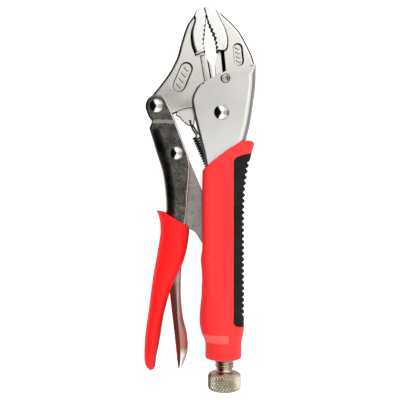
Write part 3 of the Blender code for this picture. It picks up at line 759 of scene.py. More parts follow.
def fixed_shell():
    """Pressed U-channel closed to a tube round the screw, with a lanced hook for the spring."""
    shell = plate("looks_fixed_handle_shell", shell_outline(), -SHELL_OUTER, SHELL_OUTER, shell_edge, 6)
    axis = (SCREW_X, 0.0)
    barrel = [(TUBE_RADIUS - 1.0, TUBE_TOP_Y), (TUBE_RADIUS, TUBE_TOP_Y - 1.5)]
    barrel += [(TUBE_RADIUS, TUBE_END_Y + 0.5), (TUBE_RADIUS - 0.5, TUBE_END_Y)]
    carve(shell, turned("barrel", barrel, axis, "Y"), "UNION")
    carve(shell, block(channel_cavity(), -SHELL_INNER, SHELL_INNER))
    bore = [(BORE_RADIUS, TUBE_TOP_Y + 1.0), (BORE_RADIUS, TUBE_END_Y + 0.6)]
    bore += [(BORE_RADIUS + 0.7, TUBE_END_Y - 0.1), (BORE_RADIUS + 0.7, TUBE_END_Y - 5.0)]
    carve(shell, turned("bore", bore, axis, "Y"))
    x, y = SPRING_ANCHOR
    hook = [(x - 2.0, y - 2.0), (x + 2.6, y - 2.6), (x + 2.6, y + 2.0), (x - 2.0, y + 1.6)]
    carve(shell, plate("hook", hook, -1.2, 1.2, 0.2, 2), "UNION")
    hole(shell, MAIN_PIVOT, MAIN_RIVET[0] + CLEARANCE)
    hole(shell, STAKE_CENTRE, STAKE_RADIUS + 0.03, soft=0.45, top=SHELL_OUTER)
    hole(shell, SPRING_ANCHOR, SPRING_HOLE_RADIUS, reach=3.0, sides=20)
    return shell


# y, left, right, half thickness, power of the section (2 is an ellipse)
FIXED_SLEEVE = [
    (42.0, 1.8, 37.4, 11.2, 3.4),
    (32.0, 1.7, 34.2, 12.1, 3.6),
    (22.0, 1.5, 31.8, GRIP_HALF, 3.8),
    (8.0, 1.3, 29.7, GRIP_HALF, 3.8),
    (-10.0, 1.3, 28.9, GRIP_HALF, 3.8),
    (-32.0, 1.3, 28.9, GRIP_HALF, 3.7),
    (-39.0, 0.4, 28.9, GRIP_HALF, 3.4),
    (-47.0, 0.9, 28.9, GRIP_HALF, 2.9),
    (-62.0, 0.9, 29.0, GRIP_HALF, 2.7),
    (-72.0, -0.1, 28.9, GRIP_HALF, 2.6),
    (-80.0, -0.3, 28.8, GRIP_HALF, 2.5),
    (-85.0, 0.5, 28.7, 12.4, 2.4),
    (-88.0, 1.4, 28.2, 12.3, 2.3),
    (-92.5, 3.3, 27.3, 11.9, 2.1),
    (-97.0, 3.4, 27.2, 11.9, 2.0),
    (-103.4, 3.4, 27.2, 11.9, 2.0),
]
FIXED_LIP = [(-8.0, 12.0), (1.8, 19.8), (9.8, 26.3), (18.2, 32.8), (25.2, 37.0), (29.5, 38.3)]
FIXED_LIP += [(33.0, 38.3), (35.2, 37.4), (37.5, 34.5)]


def height_on(line, x):
    """The y of a line of points at an x, with the x rising."""
    if x <= line[0][0]:
        return line[0][1]
    for (x0, y0), (x1, y1) in zip(line, line[1:]):
        if x <= x1:
            return y0 + (y1 - y0) * (x - x0) / (x1 - x0)
    return line[-1][1]


def power_section(left, right, half, power, turn):
    """A point of a rounded section: x and height at a turn from 0 to 1."""
    c, s = cos(2 * pi * turn), sin(2 * pi * turn)
    across = abs(c) ** (2 / power) * (1 if c >= 0 else -1)
    up = abs(s) ** (2 / power) * (1 if s >= 0 else -1)
    return (left + right) / 2 + (right - left) / 2 * across, half * up


def sleeve(name, stations, lip, pitch, relief=None, end_soft=1.2):
    """A closed sleeve, not yet hollowed. Its rings follow the slanted lip and straighten out further down.

    relief(x, y) gives how far the surface is pressed in at a point.
    """
    count = 96
    soft = 1.3
    low = stations[-1][0]
    lip_middle = height_on(lip, (stations[0][1] + stations[0][2]) / 2)
    rows = [("top", angle) for angle in (90, 65, 40, 18)]
    rows += [("body", i) for i in range(ceil((lip_middle - low) / pitch) + 1)]
    rows += [("end", angle) for angle in (25, 50, 72, 90)]
    body_rows = sum(1 for kind, _ in rows if kind == "body") - 1
    rings = []
    for kind, step in rows:
        shrink = 0.0
        drop = soft
        share = 0.0
        if kind == "top":
            shrink = soft * (1 - cos(radians(step)))
            drop = soft * (1 - sin(radians(step)))
        elif kind == "body":
            share = step / body_rows
        else:
            share = 1.0
            shrink = end_soft * (1 - cos(radians(step)))
        ring = []
        for k in range(count):
            y = low + (lip_middle - low) * (1 - share)
            for _ in range(3):
                left, right, half, power = blended(stations, y)
                x, height = power_section(left + shrink, right - shrink, half - shrink, power, k / count)
                top = height_on(lip, x) - drop
                y = top - (top - low - end_soft) * share
            if kind == "end":
                y = low + end_soft - end_soft * sin(radians(step))
            depth = relief(x, y) if relief else 0.0
            ring.append((x, y, height - depth * (1 if height > 0 else -1)))
        rings.append(ring)
    shape = bmesh.new()
    loops = joined(shape, rings)
    for loop in (loops[0], loops[-1]):
        for i in range(count // 2):
            ladder = (loop[i], loop[i + 1], loop[(count - i - 1) % count], loop[(count - i) % count])
            shape.faces.new(tuple(dict.fromkeys(ladder)))
    return made(name, shape)


def insert_outline():
    """The soft insert's outline on the sleeve's face, carried past the sleeve's back edge."""
    top = curve([(45.0, 33.0), (32.6, 30.0), (27.4, 28.7), (23.8, 27.4), (21.9, 25.4), (21.6, 22.0)], 4)
    low = curve([(21.6, -76.5), (21.6, -79.0), (23.1, -80.8), (28.6, -82.0), (45.0, -82.0)], 4)
    return top + low


INSERT_CORE = [(-20.0, -95.0), (25.2, -95.0), (25.2, 8.0), (27.8, 22.0), (30.4, 34.0), (30.4, 50.0)]
INSERT_CORE += [(-20.0, 50.0)]
INSERT_CORE_HALF = 7.9
NOTCH_PITCH = 3.8
NOTCH_FIRST_Y = 24.1
NOTCH_LAST_Y = NOTCH_FIRST_Y - 26 * NOTCH_PITCH


def fixed_relief(x, y):
    """The long shallow panel in the face, the flat cut above the collar, and a low pad by the open side."""
    panel = stadium_depth(x, y, 12.2, 12.0, -58.0, 4.7)
    flat = ease(-y, 86.6, 87.2) * (1 - ease(-y, 91.7, 92.3)) * (1 - ease(x, 17.8, 18.8))
    pad = ease(x, 0.6, 1.6) * (1 - ease(x, 5.8, 6.6)) * ease(-y, 33.2, 34.2) * (1 - ease(-y, 37.8, 38.8))
    return 0.8 * panel + 0.55 * flat - 0.5 * pad


def stadium_depth(x, y, centre_x, top_y, low_y, radius):
    """1 inside an upright slot and 0 outside it, with a soft wall."""
    nearest = min(max(y, low_y), top_y)
    away = hypot(x - centre_x, y - nearest)
    return 1 - ease(away, radius - 0.8, radius + 0.4)


def fixed_grip():
    """Red sleeve, cut for the shell, the link's slot, the tube and the soft insert."""
    grip = sleeve("looks_fixed_grip", FIXED_SLEEVE, FIXED_LIP, 0.6, fixed_relief)
    clear = SHELL_OUTER + FIT
    carve(grip, block(grown(shell_outline(), FIT), -clear, clear))
    barrel = [(TUBE_RADIUS + FIT, TUBE_TOP_Y + 1.0), (TUBE_RADIUS + FIT, TUBE_END_Y - 5.0)]
    carve(grip, turned("cutter", barrel, (SCREW_X, 0.0), "Y"))
    slot = [(-10.0, 50.0), (12.0, 50.0), (12.0, -55.0), (-10.0, -55.0)]
    carve(grip, plate("slot", slot, -4.6, 4.6, 1.0))
    pocket = block(grown(insert_outline(), 0.12), -20.0, 20.0)
    carve(pocket, block(grown(INSERT_CORE, -0.12), -INSERT_CORE_HALF + 0.12, INSERT_CORE_HALF - 0.12))
    carve(grip, pocket)
    return grip


def grip_insert():
    """Black soft insert with ribs across its edge."""
    rings = []
    top_y, low_y = 37.0, -84.0
    rows = ceil((top_y - low_y) / (NOTCH_PITCH / 10))
    count = 72
    for row in range(rows + 1):
        y = top_y - (top_y - low_y) * row / rows
        left, right, half, power = blended(FIXED_SLEEVE, y)
        above = ease(y, NOTCH_FIRST_Y + 1.6, NOTCH_FIRST_Y + 2.4)
        inside = ease(y, NOTCH_LAST_Y - 2.4, NOTCH_LAST_Y - 1.6) * (1 - above)
        wave = 0.5 + 0.5 * cos(2 * pi * (y - NOTCH_FIRST_Y) / NOTCH_PITCH)
        notch = inside * wave**1.6
        ring = []
        for k in range(count):
            x, height = power_section(left, right, half, power, k / count)
            depth = 1.3 * notch * ease(x, right - 4.6, right - 1.2) + 0.2 * notch
            middle = (left + right) / 2 + 4.0
            away = Vector((x - middle, height))
            away -= away.normalized() * depth
            ring.append((middle + away.x, y, away.y))
        rings.append(ring)
    insert = skin("looks_grip_insert", rings)
    carve(insert, block(insert_outline(), -20.0, 20.0), "INTERSECT")
    carve(insert, block(INSERT_CORE, -INSERT_CORE_HALF, INSERT_CORE_HALF))
    return insert


# ---------------------------------------------------------------- lever side

JOGGLE_LOW, JOGGLE_HIGH = 49.3, 52.1


def lever_outline():
    """Side plate of the lever, from the round end down the back to the hidden end and up the open side."""
    end = arc(LEVER_PIVOT, 7.3, 10, 195, 28)
    neck = curve([(-34.9, 58.0), (-33.3, 54.1), (-31.4, 51.6), (-31.5, 49.2), (-33.0, 46.5)], 4)[1:-1]
    back = [(-33.0, 46.5), (-29.1, 33.1), (-24.8, 19.4), (-22.8, 6.5), (-22.1, -7.5), (-23.3, -25.0)]
    back += [(-27.6, -48.0), (-30.5, -74.0), (-32.9, -90.0), (-32.9, -98.0)]
    open_low = [(-30.5, -98.0), (-29.4, -91.0), (-27.4, -82.0), (-24.6, -70.0), (-20.0, -56.0)]
    open_high = [(-10.6, -24.0), (-8.4, -2.3), (-6.8, 15.0), (-6.9, 25.6), (-12.2, 40.9), (-19.1, 59.1)]
    return end + neck + curve(back) + open_low + [(-14.5, -40.0)] + curve(open_high)


def lever_edge(x, y):
    """The wide bend of the web along the back, and a small press radius elsewhere."""
    if y > 50.0:
        return 1.3
    wide = ease(-y, -49.0, -43.0) * (1 - ease(-y, 5.0, 45.0))
    on_back = x < -19.5 and y > -100.0 and not (y < -50.0 and x > -32.0 + (-74.0 - y) * 0.1 + 3.0)
    if on_back:
        return 0.8 + 6.0 * wide
    return 1.3 if y > 0.0 else 0.8


def lever_cavity():
    """The room between the plates, open to the front, with the web left along the back."""
    back = [(-30.6, 47.0), (-27.0, 33.8), (-22.7, 19.8), (-20.7, 6.7), (-20.0, -7.5), (-21.2, -25.3)]
    back += [(-25.5, -48.3), (-28.4, -74.2), (-30.8, -90.0), (-30.8, -99.5)]
    return [(-50.0, 80.0), (-50.0, 47.0)] + curve(back) + [(10.0, -99.5), (10.0, 80.0)]


def lever_cavity_edge(x, y):
    """The bend's inner radius along the back."""
    if x < -31.0 or x > 0.0:
        return 0.05
    return 0.05 + 4.6 * ease(-y, -46.0, -41.0) * (1 - ease(-y, 5.0, 45.0))


def joggled(target, drop):
    """The plates of a mesh brought closer together above the joggle by an amount on each side."""
    shape = bmesh.new()
    shape.from_mesh(target.data)
    for i in range(9):
        y = (JOGGLE_LOW + (JOGGLE_HIGH - JOGGLE_LOW) * i / 8) * MM
        geometry = shape.verts[:] + shape.edges[:] + shape.faces[:]
        bmesh.ops.bisect_plane(shape, geom=geometry, plane_co=(0, y, 0), plane_no=(0, 1, 0), dist=1e-7)
    for point in shape.verts:
        height = point.co.z / MM - MID
        side = 1 if height > 0 else -1
        shift = drop * ease(point.co.y / MM, JOGGLE_LOW, JOGGLE_HIGH)
        point.co.z = (MID + height - side * min(shift, abs(height))) * MM
    shape.to_mesh(target.data)
    shape.free()
    return target


def movable_shell():
    """Pressed U-channel lever: close-set plates on the jaw, a joggle, then wider plates and the web."""
    lever = plate("looks_movable_handle_shell", lever_outline(), -LEVER_OUTER, LEVER_OUTER, lever_edge, 6)
    joggled(lever, LEVER_OUTER - LEVER_TOP_OUTER)
    inside = plate("cutter", lever_cavity(), -LEVER_INNER, LEVER_INNER, lever_cavity_edge)
    cavity = joggled(inside, LEVER_INNER - LEVER_TOP_INNER)
    carve(lever, cavity)
    hole(lever, LEVER_PIVOT, LEVER_RIVET[0] + CLEARANCE)
    hole(lever, LINK_PIVOT, LINK_RIVET[0] + CLEARANCE)
    hole(lever, RELEASE_PIVOT, PIN_RADIUS + CLEARANCE)
    return lever


# The same columns as FIXED_SLEEVE.
MOVABLE_SLEEVE = [
    (-4.0, -30.1, -7.6, 11.4, 2.9),
    (-11.0, -26.8, -7.2, 12.1, 3.0),
    (-20.0, -25.8, -6.9, GRIP_HALF, 3.1),
    (-31.0, -27.3, -8.3, GRIP_HALF, 3.1),
    (-38.0, -28.5, -10.0, GRIP_HALF, 3.1),
    (-44.0, -29.6, -12.4, GRIP_HALF, 3.0),
    (-51.0, -30.8, -15.5, GRIP_HALF, 3.0),
    (-60.0, -32.0, -19.5, GRIP_HALF, 3.0),
    (-74.0, -33.8, -23.4, GRIP_HALF, 2.9),
    (-84.0, -35.3, -25.2, GRIP_HALF, 2.8),
    (-93.0, -36.1, -26.6, GRIP_HALF, 2.6),
    (-101.0, -36.4, -28.3, 12.0, 2.4),
    (-105.5, -36.1, -29.0, 10.8, 2.3),
    (-108.3, -35.0, -29.2, 9.0, 2.4),
    (-109.8, -33.6, -29.9, 7.0, 2.2),
]
MOVABLE_LIP = [(-32.0, -5.9), (-28.1, -6.5), (-24.0, -7.6), (-20.6, -9.3), (-12.9, -13.9), (-8.4, -16.9)]
MOVABLE_LIP += [(-5.0, -21.0)]


def movable_grip():
    """Red sleeve of the lever, cut for the channel and for the release lever's slot."""
    grip = sleeve("looks_movable_grip", MOVABLE_SLEEVE, MOVABLE_LIP, 1.0, end_soft=0.4)
    clear = LEVER_OUTER + FIT
    carve(grip, block(grown(lever_outline(), FIT), -clear, clear))
    slot = [(-25.0, 10.0), (10.0, 10.0), (10.0, -84.0), (-28.5, -84.0), (-25.0, -50.0)]
    carve(grip, plate("slot", slot, -4.9, 4.9, 0.8))
    return grip


def along_link(u, v):
    """A point u along the line from the lever's rivet to the toggle point, and v to its right."""
    along = (Vector(TOGGLE_POINT) - Vector(LINK_PIVOT)).normalized()
    place = Vector(LINK_PIVOT) + along * u + Vector((-along.y, along.x)) * v
    return (place.x, place.y)


def toggle_link():
    """Flat bar with a round eye, the release hump on its front edge and a round thrust end."""
    reach = hypot(TOGGLE_POINT[0] - LINK_PIVOT[0], TOGGLE_POINT[1] - LINK_PIVOT[1])
    nose = 4.2
    eye = arc((0.0, 0.0), 6.2, 110, 250, 20)
    rise = [(12.0, -5.6), (29.5, -6.4), (38.8, -11.3), (44.0, -12.9)]
    hump = curve(rise + [(48.0, -11.5), (52.3, -8.6), (58.6, -7.6), (66.0, -5.6), (73.0, -4.4)])
    thrust = arc((reach - nose - 0.3, 0.0), nose, -80, 80, 16)
    rear = [(62.0, 5.4), (40.0, 5.8), (12.0, 5.8)]
    outline = [along_link(u, v) for u, v in eye + hump + thrust + rear]
    link = plate("looks_toggle_link", outline, -LINK_HALF, LINK_HALF, 0.5)
    hole(link, LINK_PIVOT, LINK_RIVET[0] + CLEARANCE)
    return link


# y, left edge, fold line, right edge, height of the left edge, of the fold and of the right edge
RELEASE_TAIL = [
    (-30.0, -20.6, -13.4, -10.6, 4.0, 4.2, 3.4),
    (-45.0, -21.0, -13.6, -12.1, 3.9, 4.2, 2.6),
    (-60.8, -19.6, -14.6, -12.5, 3.5, 4.2, 2.2),
    (-76.0, -17.9, -14.2, -11.2, 3.1, 4.2, 1.9),
    (-88.3, -16.5, -13.2, -8.4, 2.8, 4.2, 1.5),
    (-99.0, -15.4, -12.6, -8.1, 2.6, 4.1, 1.3),
    (-105.0, -14.8, -12.6, -9.9, 2.4, 3.6, 1.3),
    (-108.6, -14.4, -12.9, -11.6, 2.2, 2.8, 1.5),
    (-110.1, -13.9, -13.2, -12.7, 1.9, 2.1, 1.7),
]


def release_lever():
    """Pressed U-shaped lever: a nose towards the link's hump, and a long folded tail."""
    wall = 1.1
    rings = []
    top_y, low_y = RELEASE_TAIL[0][0], RELEASE_TAIL[-1][0]
    rows = 60
    for row in range(rows + 1):
        y = top_y + (low_y - top_y) * row / rows
        left, fold, right, z_left, z_fold, z_right = blended(RELEASE_TAIL, y)
        outer = [(left, z_left), (left + (fold - left) * 0.5, (z_left + z_fold) / 2 + 0.15)]
        outer += [(fold - 0.35, z_fold - 0.02), (fold + 0.35, z_fold - 0.12)]
        outer += [(fold + (right - fold) * 0.55, (z_fold + z_right) / 2 + 0.25), (right - 0.25, z_right)]
        outer += [(right, z_right - 0.6)]
        inner = [(right - wall, max(z_right - 1.1, 0.3)), (fold, z_fold - wall)]
        inner += [(left + 0.15, z_left - wall)]
        shrink = min(1.0, (fold - left) / 2.5)
        inner = [(min(max(x, left + 0.05), right - 0.3 * wall), z * shrink) for x, z in inner]
        half = outer + [(x, -z) for x, z in reversed(outer)]
        ring = half + [(x, -z) for x, z in reversed(inner)] + inner
        rings.append([(x, y, z) for x, z in ring])
    lever = skin("looks_release_lever", rings)
    nose = arc((-12.6, -22.6), 2.3, -20, 120, 10)
    crown = arc(RELEASE_PIVOT, 3.6, 100, 200, 12)
    head = nose + crown + [(-21.0, -34.0), (-10.6, -34.0)]
    top = plate("head", head, -RELEASE_OUTER, RELEASE_OUTER, 0.6)
    carve(top, block([(-40.0, -35.0), (-40.0, -10.0), (0.0, -10.0), (0.0, -35.0)], -3.0, 3.0))
    carve(lever, top, "UNION")
    hole(lever, RELEASE_PIVOT, PIN_RADIUS + CLEARANCE)
    return lever


# ---------------------------------------------------------------- rivets, screw and spring


def domed_rivet(name, node, centre, shank, head, seat, steps=14):
    """A rivet with a round dome on each side and a plain shank between the seats."""
    top = extent(node)[1].z
    seat += FIT
    flange = 0.25
    rise = top - seat - flange
    ball = (head**2 + rise**2) / (2 * rise)
    dome = [(head - 0.12, seat), (head, seat + 0.12)]
    for i in range(steps):
        radius = head * (1 - (i / steps) ** 1.3)
        dome.append((radius, top - ball + (ball**2 - radius**2) ** 0.5))
    upper = [(shank, seat), *dome]
    lower = [(radius, -place) for radius, place in reversed(upper)]
    return turned(name, lower + upper, centre, "Z")


def stake():
    """Flush riveted end with an uneven peened face."""
    rim = [(STAKE_RADIUS, SHELL_OUTER - 0.9), (STAKE_RADIUS - 0.35, SHELL_OUTER - 0.15)]
    rim += [(STAKE_RADIUS - 0.7, SHELL_OUTER), (STAKE_RADIUS - 1.15, SHELL_OUTER - 0.12)]
    rim += [(STAKE_RADIUS - 1.6, SHELL_OUTER - 0.5), (STAKE_RADIUS - 2.3, SHELL_OUTER - 0.6)]
    lower = [(radius, -place) for radius, place in reversed(rim)]
    return turned("looks_fixed_jaw_rivet", lower + rim, STAKE_CENTRE, "Z", 36)


def saw(value):
    """0 at whole numbers and 1 half-way between them, in straight lines."""
    part = value % 1.0
    return 1 - abs(2 * part - 1)


def axle_ring(radius, y, sides=64):
    """A ring about the screw's axis. Its radius is a number or goes by the turn, from 0 to 1."""
    ring = []
    for k in range(sides):
        turn = k / sides
        reach = radius(turn) if callable(radius) else radius
        ring.append((SCREW_X + reach * cos(2 * pi * turn), y, reach * sin(2 * pi * turn)))
    return ring


def adjusting_screw():
    """Shank with a rolled thread, a plain neck and the spigot that carries the knob."""
    neck_y = KNOB_TOP_Y + 2.2
    top, low = SCREW_TIP_Y, KNOB_TOP_Y + 0.3
    rows = ceil((top - neck_y) / (THREAD_PITCH / 12))
    tip = [(1.2, top), (SCREW_RADIUS - 1.6, top - 0.15), (SCREW_RADIUS - 1.2, top - 0.5)]
    rings = [axle_ring(radius, y) for radius, y in tip]
    for row in range(1, rows + 1):
        y = top - 0.5 - (top - 0.5 - neck_y) * row / rows
        fade = ease(top - y, 0.5, 2.4) * (1 - ease(-y, -neck_y - 1.2, -neck_y))

        def threaded(turn, y=y, fade=fade):
            crest = min(saw(y / THREAD_PITCH + turn) * 1.25, 1.0)
            return SCREW_RADIUS - THREAD_DEPTH * (1 - crest * fade) - 0.25 * (1 - fade)

        rings.append(axle_ring(threaded, y))
    root = SCREW_RADIUS - THREAD_DEPTH - 0.25
    tail = [(root, neck_y - 0.6), (root, low + 0.8), (root + 0.7, low + 0.15), (root + 0.7, low)]
    tail += [(SPIGOT_RADIUS, low), (SPIGOT_RADIUS, SPIGOT_END_Y + 0.3), (SPIGOT_RADIUS - 0.3, SPIGOT_END_Y)]
    rings += [axle_ring(radius, y) for radius, y in tail]
    return skin("looks_adjusting_screw", rings)


def knurled_knob():
    """Round knob with soft shoulders, diamond knurling and a blind bore for the spigot."""
    teeth = 32
    soft = 3.5
    depth = 0.85
    bore = SPIGOT_RADIUS + 0.2
    angles = [radians(90 * i / 8) for i in range(9)]
    shoulder = [(KNOB_RADIUS - soft + soft * sin(a), soft * 0.8 * (1 - cos(a))) for a in angles]
    body_top, body_low = KNOB_TOP_Y - soft * 0.8, KNOB_END_Y + soft * 0.8
    rows = 44
    profile = [(bore, SPIGOT_END_Y - 0.2), (bore, KNOB_TOP_Y), (KNOB_RADIUS - soft - 1.2, KNOB_TOP_Y)]
    profile += [(radius, KNOB_TOP_Y - drop) for radius, drop in shoulder]
    profile += [(KNOB_RADIUS, body_top + (body_low - body_top) * i / rows) for i in range(1, rows)]
    profile += [(radius, KNOB_END_Y + drop) for radius, drop in reversed(shoulder)]
    profile += [(KNOB_RADIUS - soft - 1.4, KNOB_END_Y), (KNOB_RADIUS - soft - 1.9, KNOB_END_Y + 0.4)]
    profile += [(0.8, KNOB_END_Y + 0.4)]
    slope = 0.72 * teeth / (2 * pi * KNOB_RADIUS)
    rings = []
    for radius, y in profile:
        cut = depth * ease(radius, KNOB_RADIUS - 1.5, KNOB_RADIUS - 0.5)

        def knurled(turn, radius=radius, y=y, cut=cut):
            lift = min(saw(teeth * turn + y * slope), saw(teeth * turn - y * slope))
            return radius + 0.3 * cut - cut * (1 - min(lift * 1.35, 1.0))

        rings.append(axle_ring(knurled, y, 320))
    return skin("looks_knurled_knob", rings)


def spring_path(per_turn=20):
    """The wire's centre line: a leg through the tab's hole, the coil, and a leg through the hook's hole."""
    top = Vector((*SPRING_HOLE, 0.0))
    end = Vector((*SPRING_ANCHOR, 0.0))
    axis = (end - top).normalized()
    across = Vector((axis.y, -axis.x, 0.0))
    up = Vector((0.0, 0.0, 1.0))
    first = top + axis * SPRING_LEAD_TOP
    length = (end - top).length - SPRING_LEAD_TOP - SPRING_LEAD_END
    lead = [first - axis * 1.4 - across * 1.5 - up * 1.6, top + axis * 5.0 - across * 0.9 - up * 2.6]
    lead += [top + axis * 1.0 - across * 0.4 - up * 2.8, top - axis * 0.2 - up * 1.6, top]
    lead += [top - axis * 0.2 + up * 1.7, top + axis * 1.0 + across * 0.2 + up * 2.9]
    lead += [top + axis * 5.0 + across * 0.6 + up * 2.9]
    lead += [first + up * 2.8 - axis * 1.4]
    steps = SPRING_TURNS * per_turn
    coil = []
    for i in range(steps + 1):
        turn = 2 * pi * i / per_turn
        around = up * cos(turn) + across * sin(turn)
        coil.append(first + axis * (length * i / steps) + around * COIL_RADIUS)
    tail = [end - axis * 6.5 + up * 2.6, end - axis * 0.8 + up * 2.4, end + up * 1.9, end - up * 1.9]
    return curve(lead, 5) + coil + curve([coil[-1], *tail], 5)[1:]


def return_spring():
    return rod("looks_return_spring", spring_path(), WIRE_RADIUS)


# ---------------------------------------------------------------- stage


def floor():
    """A plain pale floor 0.4 mm under the tool, which glows a little so that shadows on it stay faint."""
    shape = bmesh.new()
    bmesh.ops.create_grid(shape, x_segments=2, y_segments=2, size=2.5)
    mesh = bpy.data.meshes.new("floor")
    shape.to_mesh(mesh)
    shape.free()
    ground = bpy.data.objects.new("floor", mesh)
    ground.location.z = -0.0004
    bpy.context.scene.collection.objects.link(ground)
    surface = Surface("floor_paper", 0.0, 0.9)
    grain = surface.noise(1.5, 3.0, 0.5)
    surface.colour(surface.ramp(grain, (0.3, (0.86, 0.86, 0.86)), (0.7, (0.89, 0.89, 0.89))))
    surface.shader.inputs["Emission Color"].default_value = (1.0, 1.0, 1.0, 1.0)
    surface.shader.inputs["Emission Strength"].default_value = 0.75
    surface.shader.inputs["Specular IOR Level"].default_value = 0.1
    mesh.materials.append(surface.material)
    ground.visible_glossy = False


WINDOW_BOW = 0.4


def surroundings():
    """A plain studio: pale overhead, dark to the left and low down, bright panels ahead and behind."""
    world = bpy.data.worlds.new("studio")
    bpy.context.scene.world = world
    world.use_nodes = True
    nodes = Nodes(world.node_tree)
    sky = nodes.node("ShaderNodeTexCoord").outputs["Generated"]

    def share(source):
        return nodes.spread(source, -1.0, 1.0)

    def greys(source, *stops):
        return nodes.ramp(source, *[(place, (grey, grey, grey)) for place, grey in stops])

    def both(mode, one, two):
        return nodes.mix(1.0, one, two, mode)

    x, y, z = (nodes.part(sky, axis) for axis in "XYZ")
    bowed = share(nodes.math("MULTIPLY_ADD", nodes.math("MULTIPLY", y, y), WINDOW_BOW, x))
    left = [(0.0, 0.004), (0.43, 0.006), (0.48, 0.65), (0.5, 0.88)]
    side = greys(bowed, *left, (0.8, 0.95), (0.93, 0.9), (0.97, 0.5), (1.0, 0.45))
    behind = [(0.0, 0.1), (0.1, 1.0), (0.27, 1.0), (0.35, 0.0)]
    ends = greys(share(y), *behind, (0.63, 0.0), (0.71, 0.9), (0.88, 0.9), (1.0, 0.2))
    height = greys(z, (0.0, 0.6), (0.25, 0.65), (0.55, 0.85), (1.0, 1.0))
    open_side = greys(bowed, (0.0, 0.0), (0.36, 0.0), (0.44, 1.0), (1.0, 1.0))
    upper = both("MULTIPLY", both("ADD", side, both("MULTIPLY", ends, open_side)), height)
    lower = greys(share(x), (0.0, 0.02), (0.02, 0.05), (0.06, 0.5), (0.5, 0.42), (1.0, 0.5))
    step = greys(share(z), (0.42, 0.0), (0.46, 1.0))
    background = nodes.tree.nodes["Background"]
    nodes.link(nodes.mix(step, lower, upper), background.inputs["Color"])
    background.inputs["Strength"].default_value = 1.2


def area_light(name, place, size, power):
    """A square lamp aimed at the tool. Metal doesn't reflect it: metal sees only the surroundings."""
    data = bpy.data.lights.new(name, "AREA")
    data.shape = "SQUARE"
    data.size = size
    data.energy = power
    lamp = bpy.data.objects.new(name, data)
    lamp.location = place
    lamp.rotation_euler = (-Vector(place)).to_track_quat("-Z", "Y").to_euler()
    lamp.visible_glossy = False
    bpy.context.scene.collection.objects.link(lamp)


def camera():
    """Straight above the tool, half a metre up."""
    data = bpy.data.cameras.new("camera")
    distance, half_width = 0.485, 0.131
    data.angle = 2 * atan(half_width / distance)
    made_camera = bpy.data.objects.new("camera", data)
    made_camera.location = (0.0, 0.0, MID * MM + distance)
    bpy.context.scene.collection.objects.link(made_camera)
    bpy.context.scene.camera = made_camera


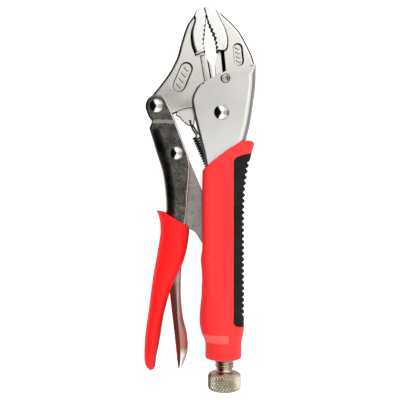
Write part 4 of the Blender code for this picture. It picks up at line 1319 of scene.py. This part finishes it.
def pieces():
    """Every piece in its material. The hidden pin keeps its CAD shape and takes only a material."""
    jaw_steel = plated(
        "visual_jaw_nickel",
        (0.46, 0.44, 0.405),
        (0.78, 0.75, 0.70),
        0.33,
        blotch=5.0,
        grain=0.3,
        pits=0.35,
        # Painted highlights: the steel lightens towards the jaws' tips and over the spring tab.
        painted_light_fades=[("Y", 62.0, 98.0, (0.82, 0.795, 0.75)), ("Y", 61.0, 57.5, (0.84, 0.81, 0.77))],
        # Painted shade: near-black rounded edges and darker upright sides, in place of the dark surroundings
        # they would reflect.
        painted_edge_shade=((0.035, 0.032, 0.028), 14.0, 36.0, (0.20, 0.19, 0.175)),
        ground=(5.2, (0.93, 0.915, 0.88)),
        relief=0.07,
        grazing=0.15,
    )
    shell_steel = plated(
        "visual_shell_nickel",
        (0.62, 0.605, 0.57),
        (0.73, 0.71, 0.675),
        0.3,
        blotch=9.0,
        grain=0.25,
        relief=0.02,
        # Painted light: the plate lightens towards its lower end.
        painted_light_fades=[("Y", 62.0, 22.0, (0.90, 0.89, 0.86))],
        # Painted reflections: a light stripe where the back starts to bend and a grey band on the bend
        # itself.
        edges=[("X", 0.05, 0.09, (0.82, 0.80, 0.77)), ("X", 0.46, 0.54, (0.56, 0.55, 0.53))],
    )
    lever_steel = plated(
        "visual_lever_steel",
        (0.05, 0.046, 0.038),
        (0.27, 0.255, 0.225),
        0.34,
        blotch=4.0,
        grain=0.8,
        pits=0.6,
        relief=0.09,
        # Painted light and shade: the sides take lighter or darker colours by the way they face, for light
        # rims and a dark band.
        edges=[
            ("Y", 0.30, 0.55, (0.30, 0.285, 0.26)),
            ("X", 0.30, 0.45, (0.92, 0.90, 0.86)),
            ("X", 0.82, 0.90, (0.05, 0.05, 0.045)),
            ("X", -0.84, -0.92, (0.95, 0.93, 0.90)),
        ],
        speckle=0.9,
        grazing=0.3,
    )
    link_steel = plated(
        "visual_link_steel", (0.28, 0.255, 0.23), (0.46, 0.42, 0.385), 0.38, blotch=3.0, grain=0.4, pits=0.7
    )
    release_steel = plated(
        "visual_release_steel",
        (0.32, 0.275, 0.25),
        (0.52, 0.47, 0.44),
        0.18,
        pits=0.2,
        relief=0.02,
        # Painted reflections: a red cast from the red sleeve lower down, and a light end.
        painted_light_fades=[("Y", -76.0, -88.0, (0.45, 0.19, 0.17)), ("Y", -96.0, -101.0, (0.80, 0.78, 0.76))],
        # Painted reflection: a dark red on the sides that face -X.
        edges=[("X", -0.02, -0.09, (0.34, 0.07, 0.055))],
        metallic=0.7,
    )
    screw_steel = plated(
        "visual_screw_steel", (0.48, 0.42, 0.34), (0.66, 0.60, 0.52), 0.24,
        blotch=3.0, grain=0.2, pits=0.2, relief=0.02,
    )
    knob_steel = plated(
        "visual_knob_steel", (0.48, 0.42, 0.335), (0.72, 0.66, 0.56), 0.26,
        blotch=3.0, grain=0.2, pits=0.2, relief=0.02,
    )
    stake_steel = plated(
        "visual_stake_steel", (0.30, 0.27, 0.23), (0.62, 0.60, 0.56), 0.36,
        blotch=0.8, grain=0.25, pits=0.6, relief=0.12,
    )
    spring_steel = plated(
        "visual_spring_steel", (0.05, 0.05, 0.045), (0.12, 0.12, 0.11), 0.3,
        blotch=2.0, grain=0.2, pits=0.0, relief=0.02,
    )
    rivet_steel = polished_steel()
    red = red_plastic(
        "visual_red_plastic",
        (0.88, 0.034, 0.032),
        (0.80, 0.022, 0.020),
        band=(-92.2, -87.0, 18.2, (0.90, 0.105, 0.09)),
    )
    lever_red = red_plastic(
        # Painted shade on the side of the lever's sleeve that faces +X.
        "visual_lever_red_plastic", (0.84, 0.007, 0.007), (0.76, 0.004, 0.004), edge=(0.30, 0.004, 0.004)
    )
    dress(fixed_jaw(), "fixed_handle", "fixed_jaw", jaw_steel)
    dress(movable_jaw(), "jaw", "movable_jaw", jaw_steel)
    dress(fixed_shell(), "fixed_handle", "fixed_handle_shell", shell_steel)
    dress(movable_shell(), "lever", "movable_handle_shell", lever_steel)
    dress(toggle_link(), "link", "toggle_link", link_steel)
    dress(release_lever(), "release", "release_lever", release_steel, 40)
    dress(fixed_grip(), "fixed_handle", "fixed_grip", red, 40)
    dress(grip_insert(), "fixed_handle", "grip_insert", black_rubber(), 45)
    dress(movable_grip(), "lever", "movable_grip", lever_red, 40)
    rivets = (
        ("main_pivot_rivet", "fixed_handle", MAIN_PIVOT, MAIN_RIVET),
        ("lever_pivot_rivet", "jaw", LEVER_PIVOT, LEVER_RIVET),
        ("link_pivot_rivet", "lever", LINK_PIVOT, LINK_RIVET),
    )
    for node, body, centre, sizes in rivets:
        rivet = domed_rivet("looks_" + node, node, centre, *sizes)
        dress(rivet, body, node, rivet_steel)
    dress(stake(), "fixed_handle", "fixed_jaw_rivet", stake_steel)
    dress(adjusting_screw(), "screw", "adjusting_screw", screw_steel, 50)
    dress(knurled_knob(), "knob", "knurled_knob", knob_steel, 25)
    spring = return_spring()
    dress(spring, None, "return_spring", spring_steel, 60)
    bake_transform(spring)
    pin = frame["nodes"]["release_lever_pin"]
    pin.data.materials.clear()
    pin.data.materials.append(stake_steel)


bpy.context.scene.view_settings.view_transform = "Standard"
pieces()
floor()
surroundings()
area_light("key", (0.3, 0.35, 1.1), 0.7, 1.4)
area_light("fill", (0.15, -0.5, 1.0), 0.9, 1.4)
area_light("left", (-0.75, 0.0, 0.65), 0.8, 4.2)
camera()
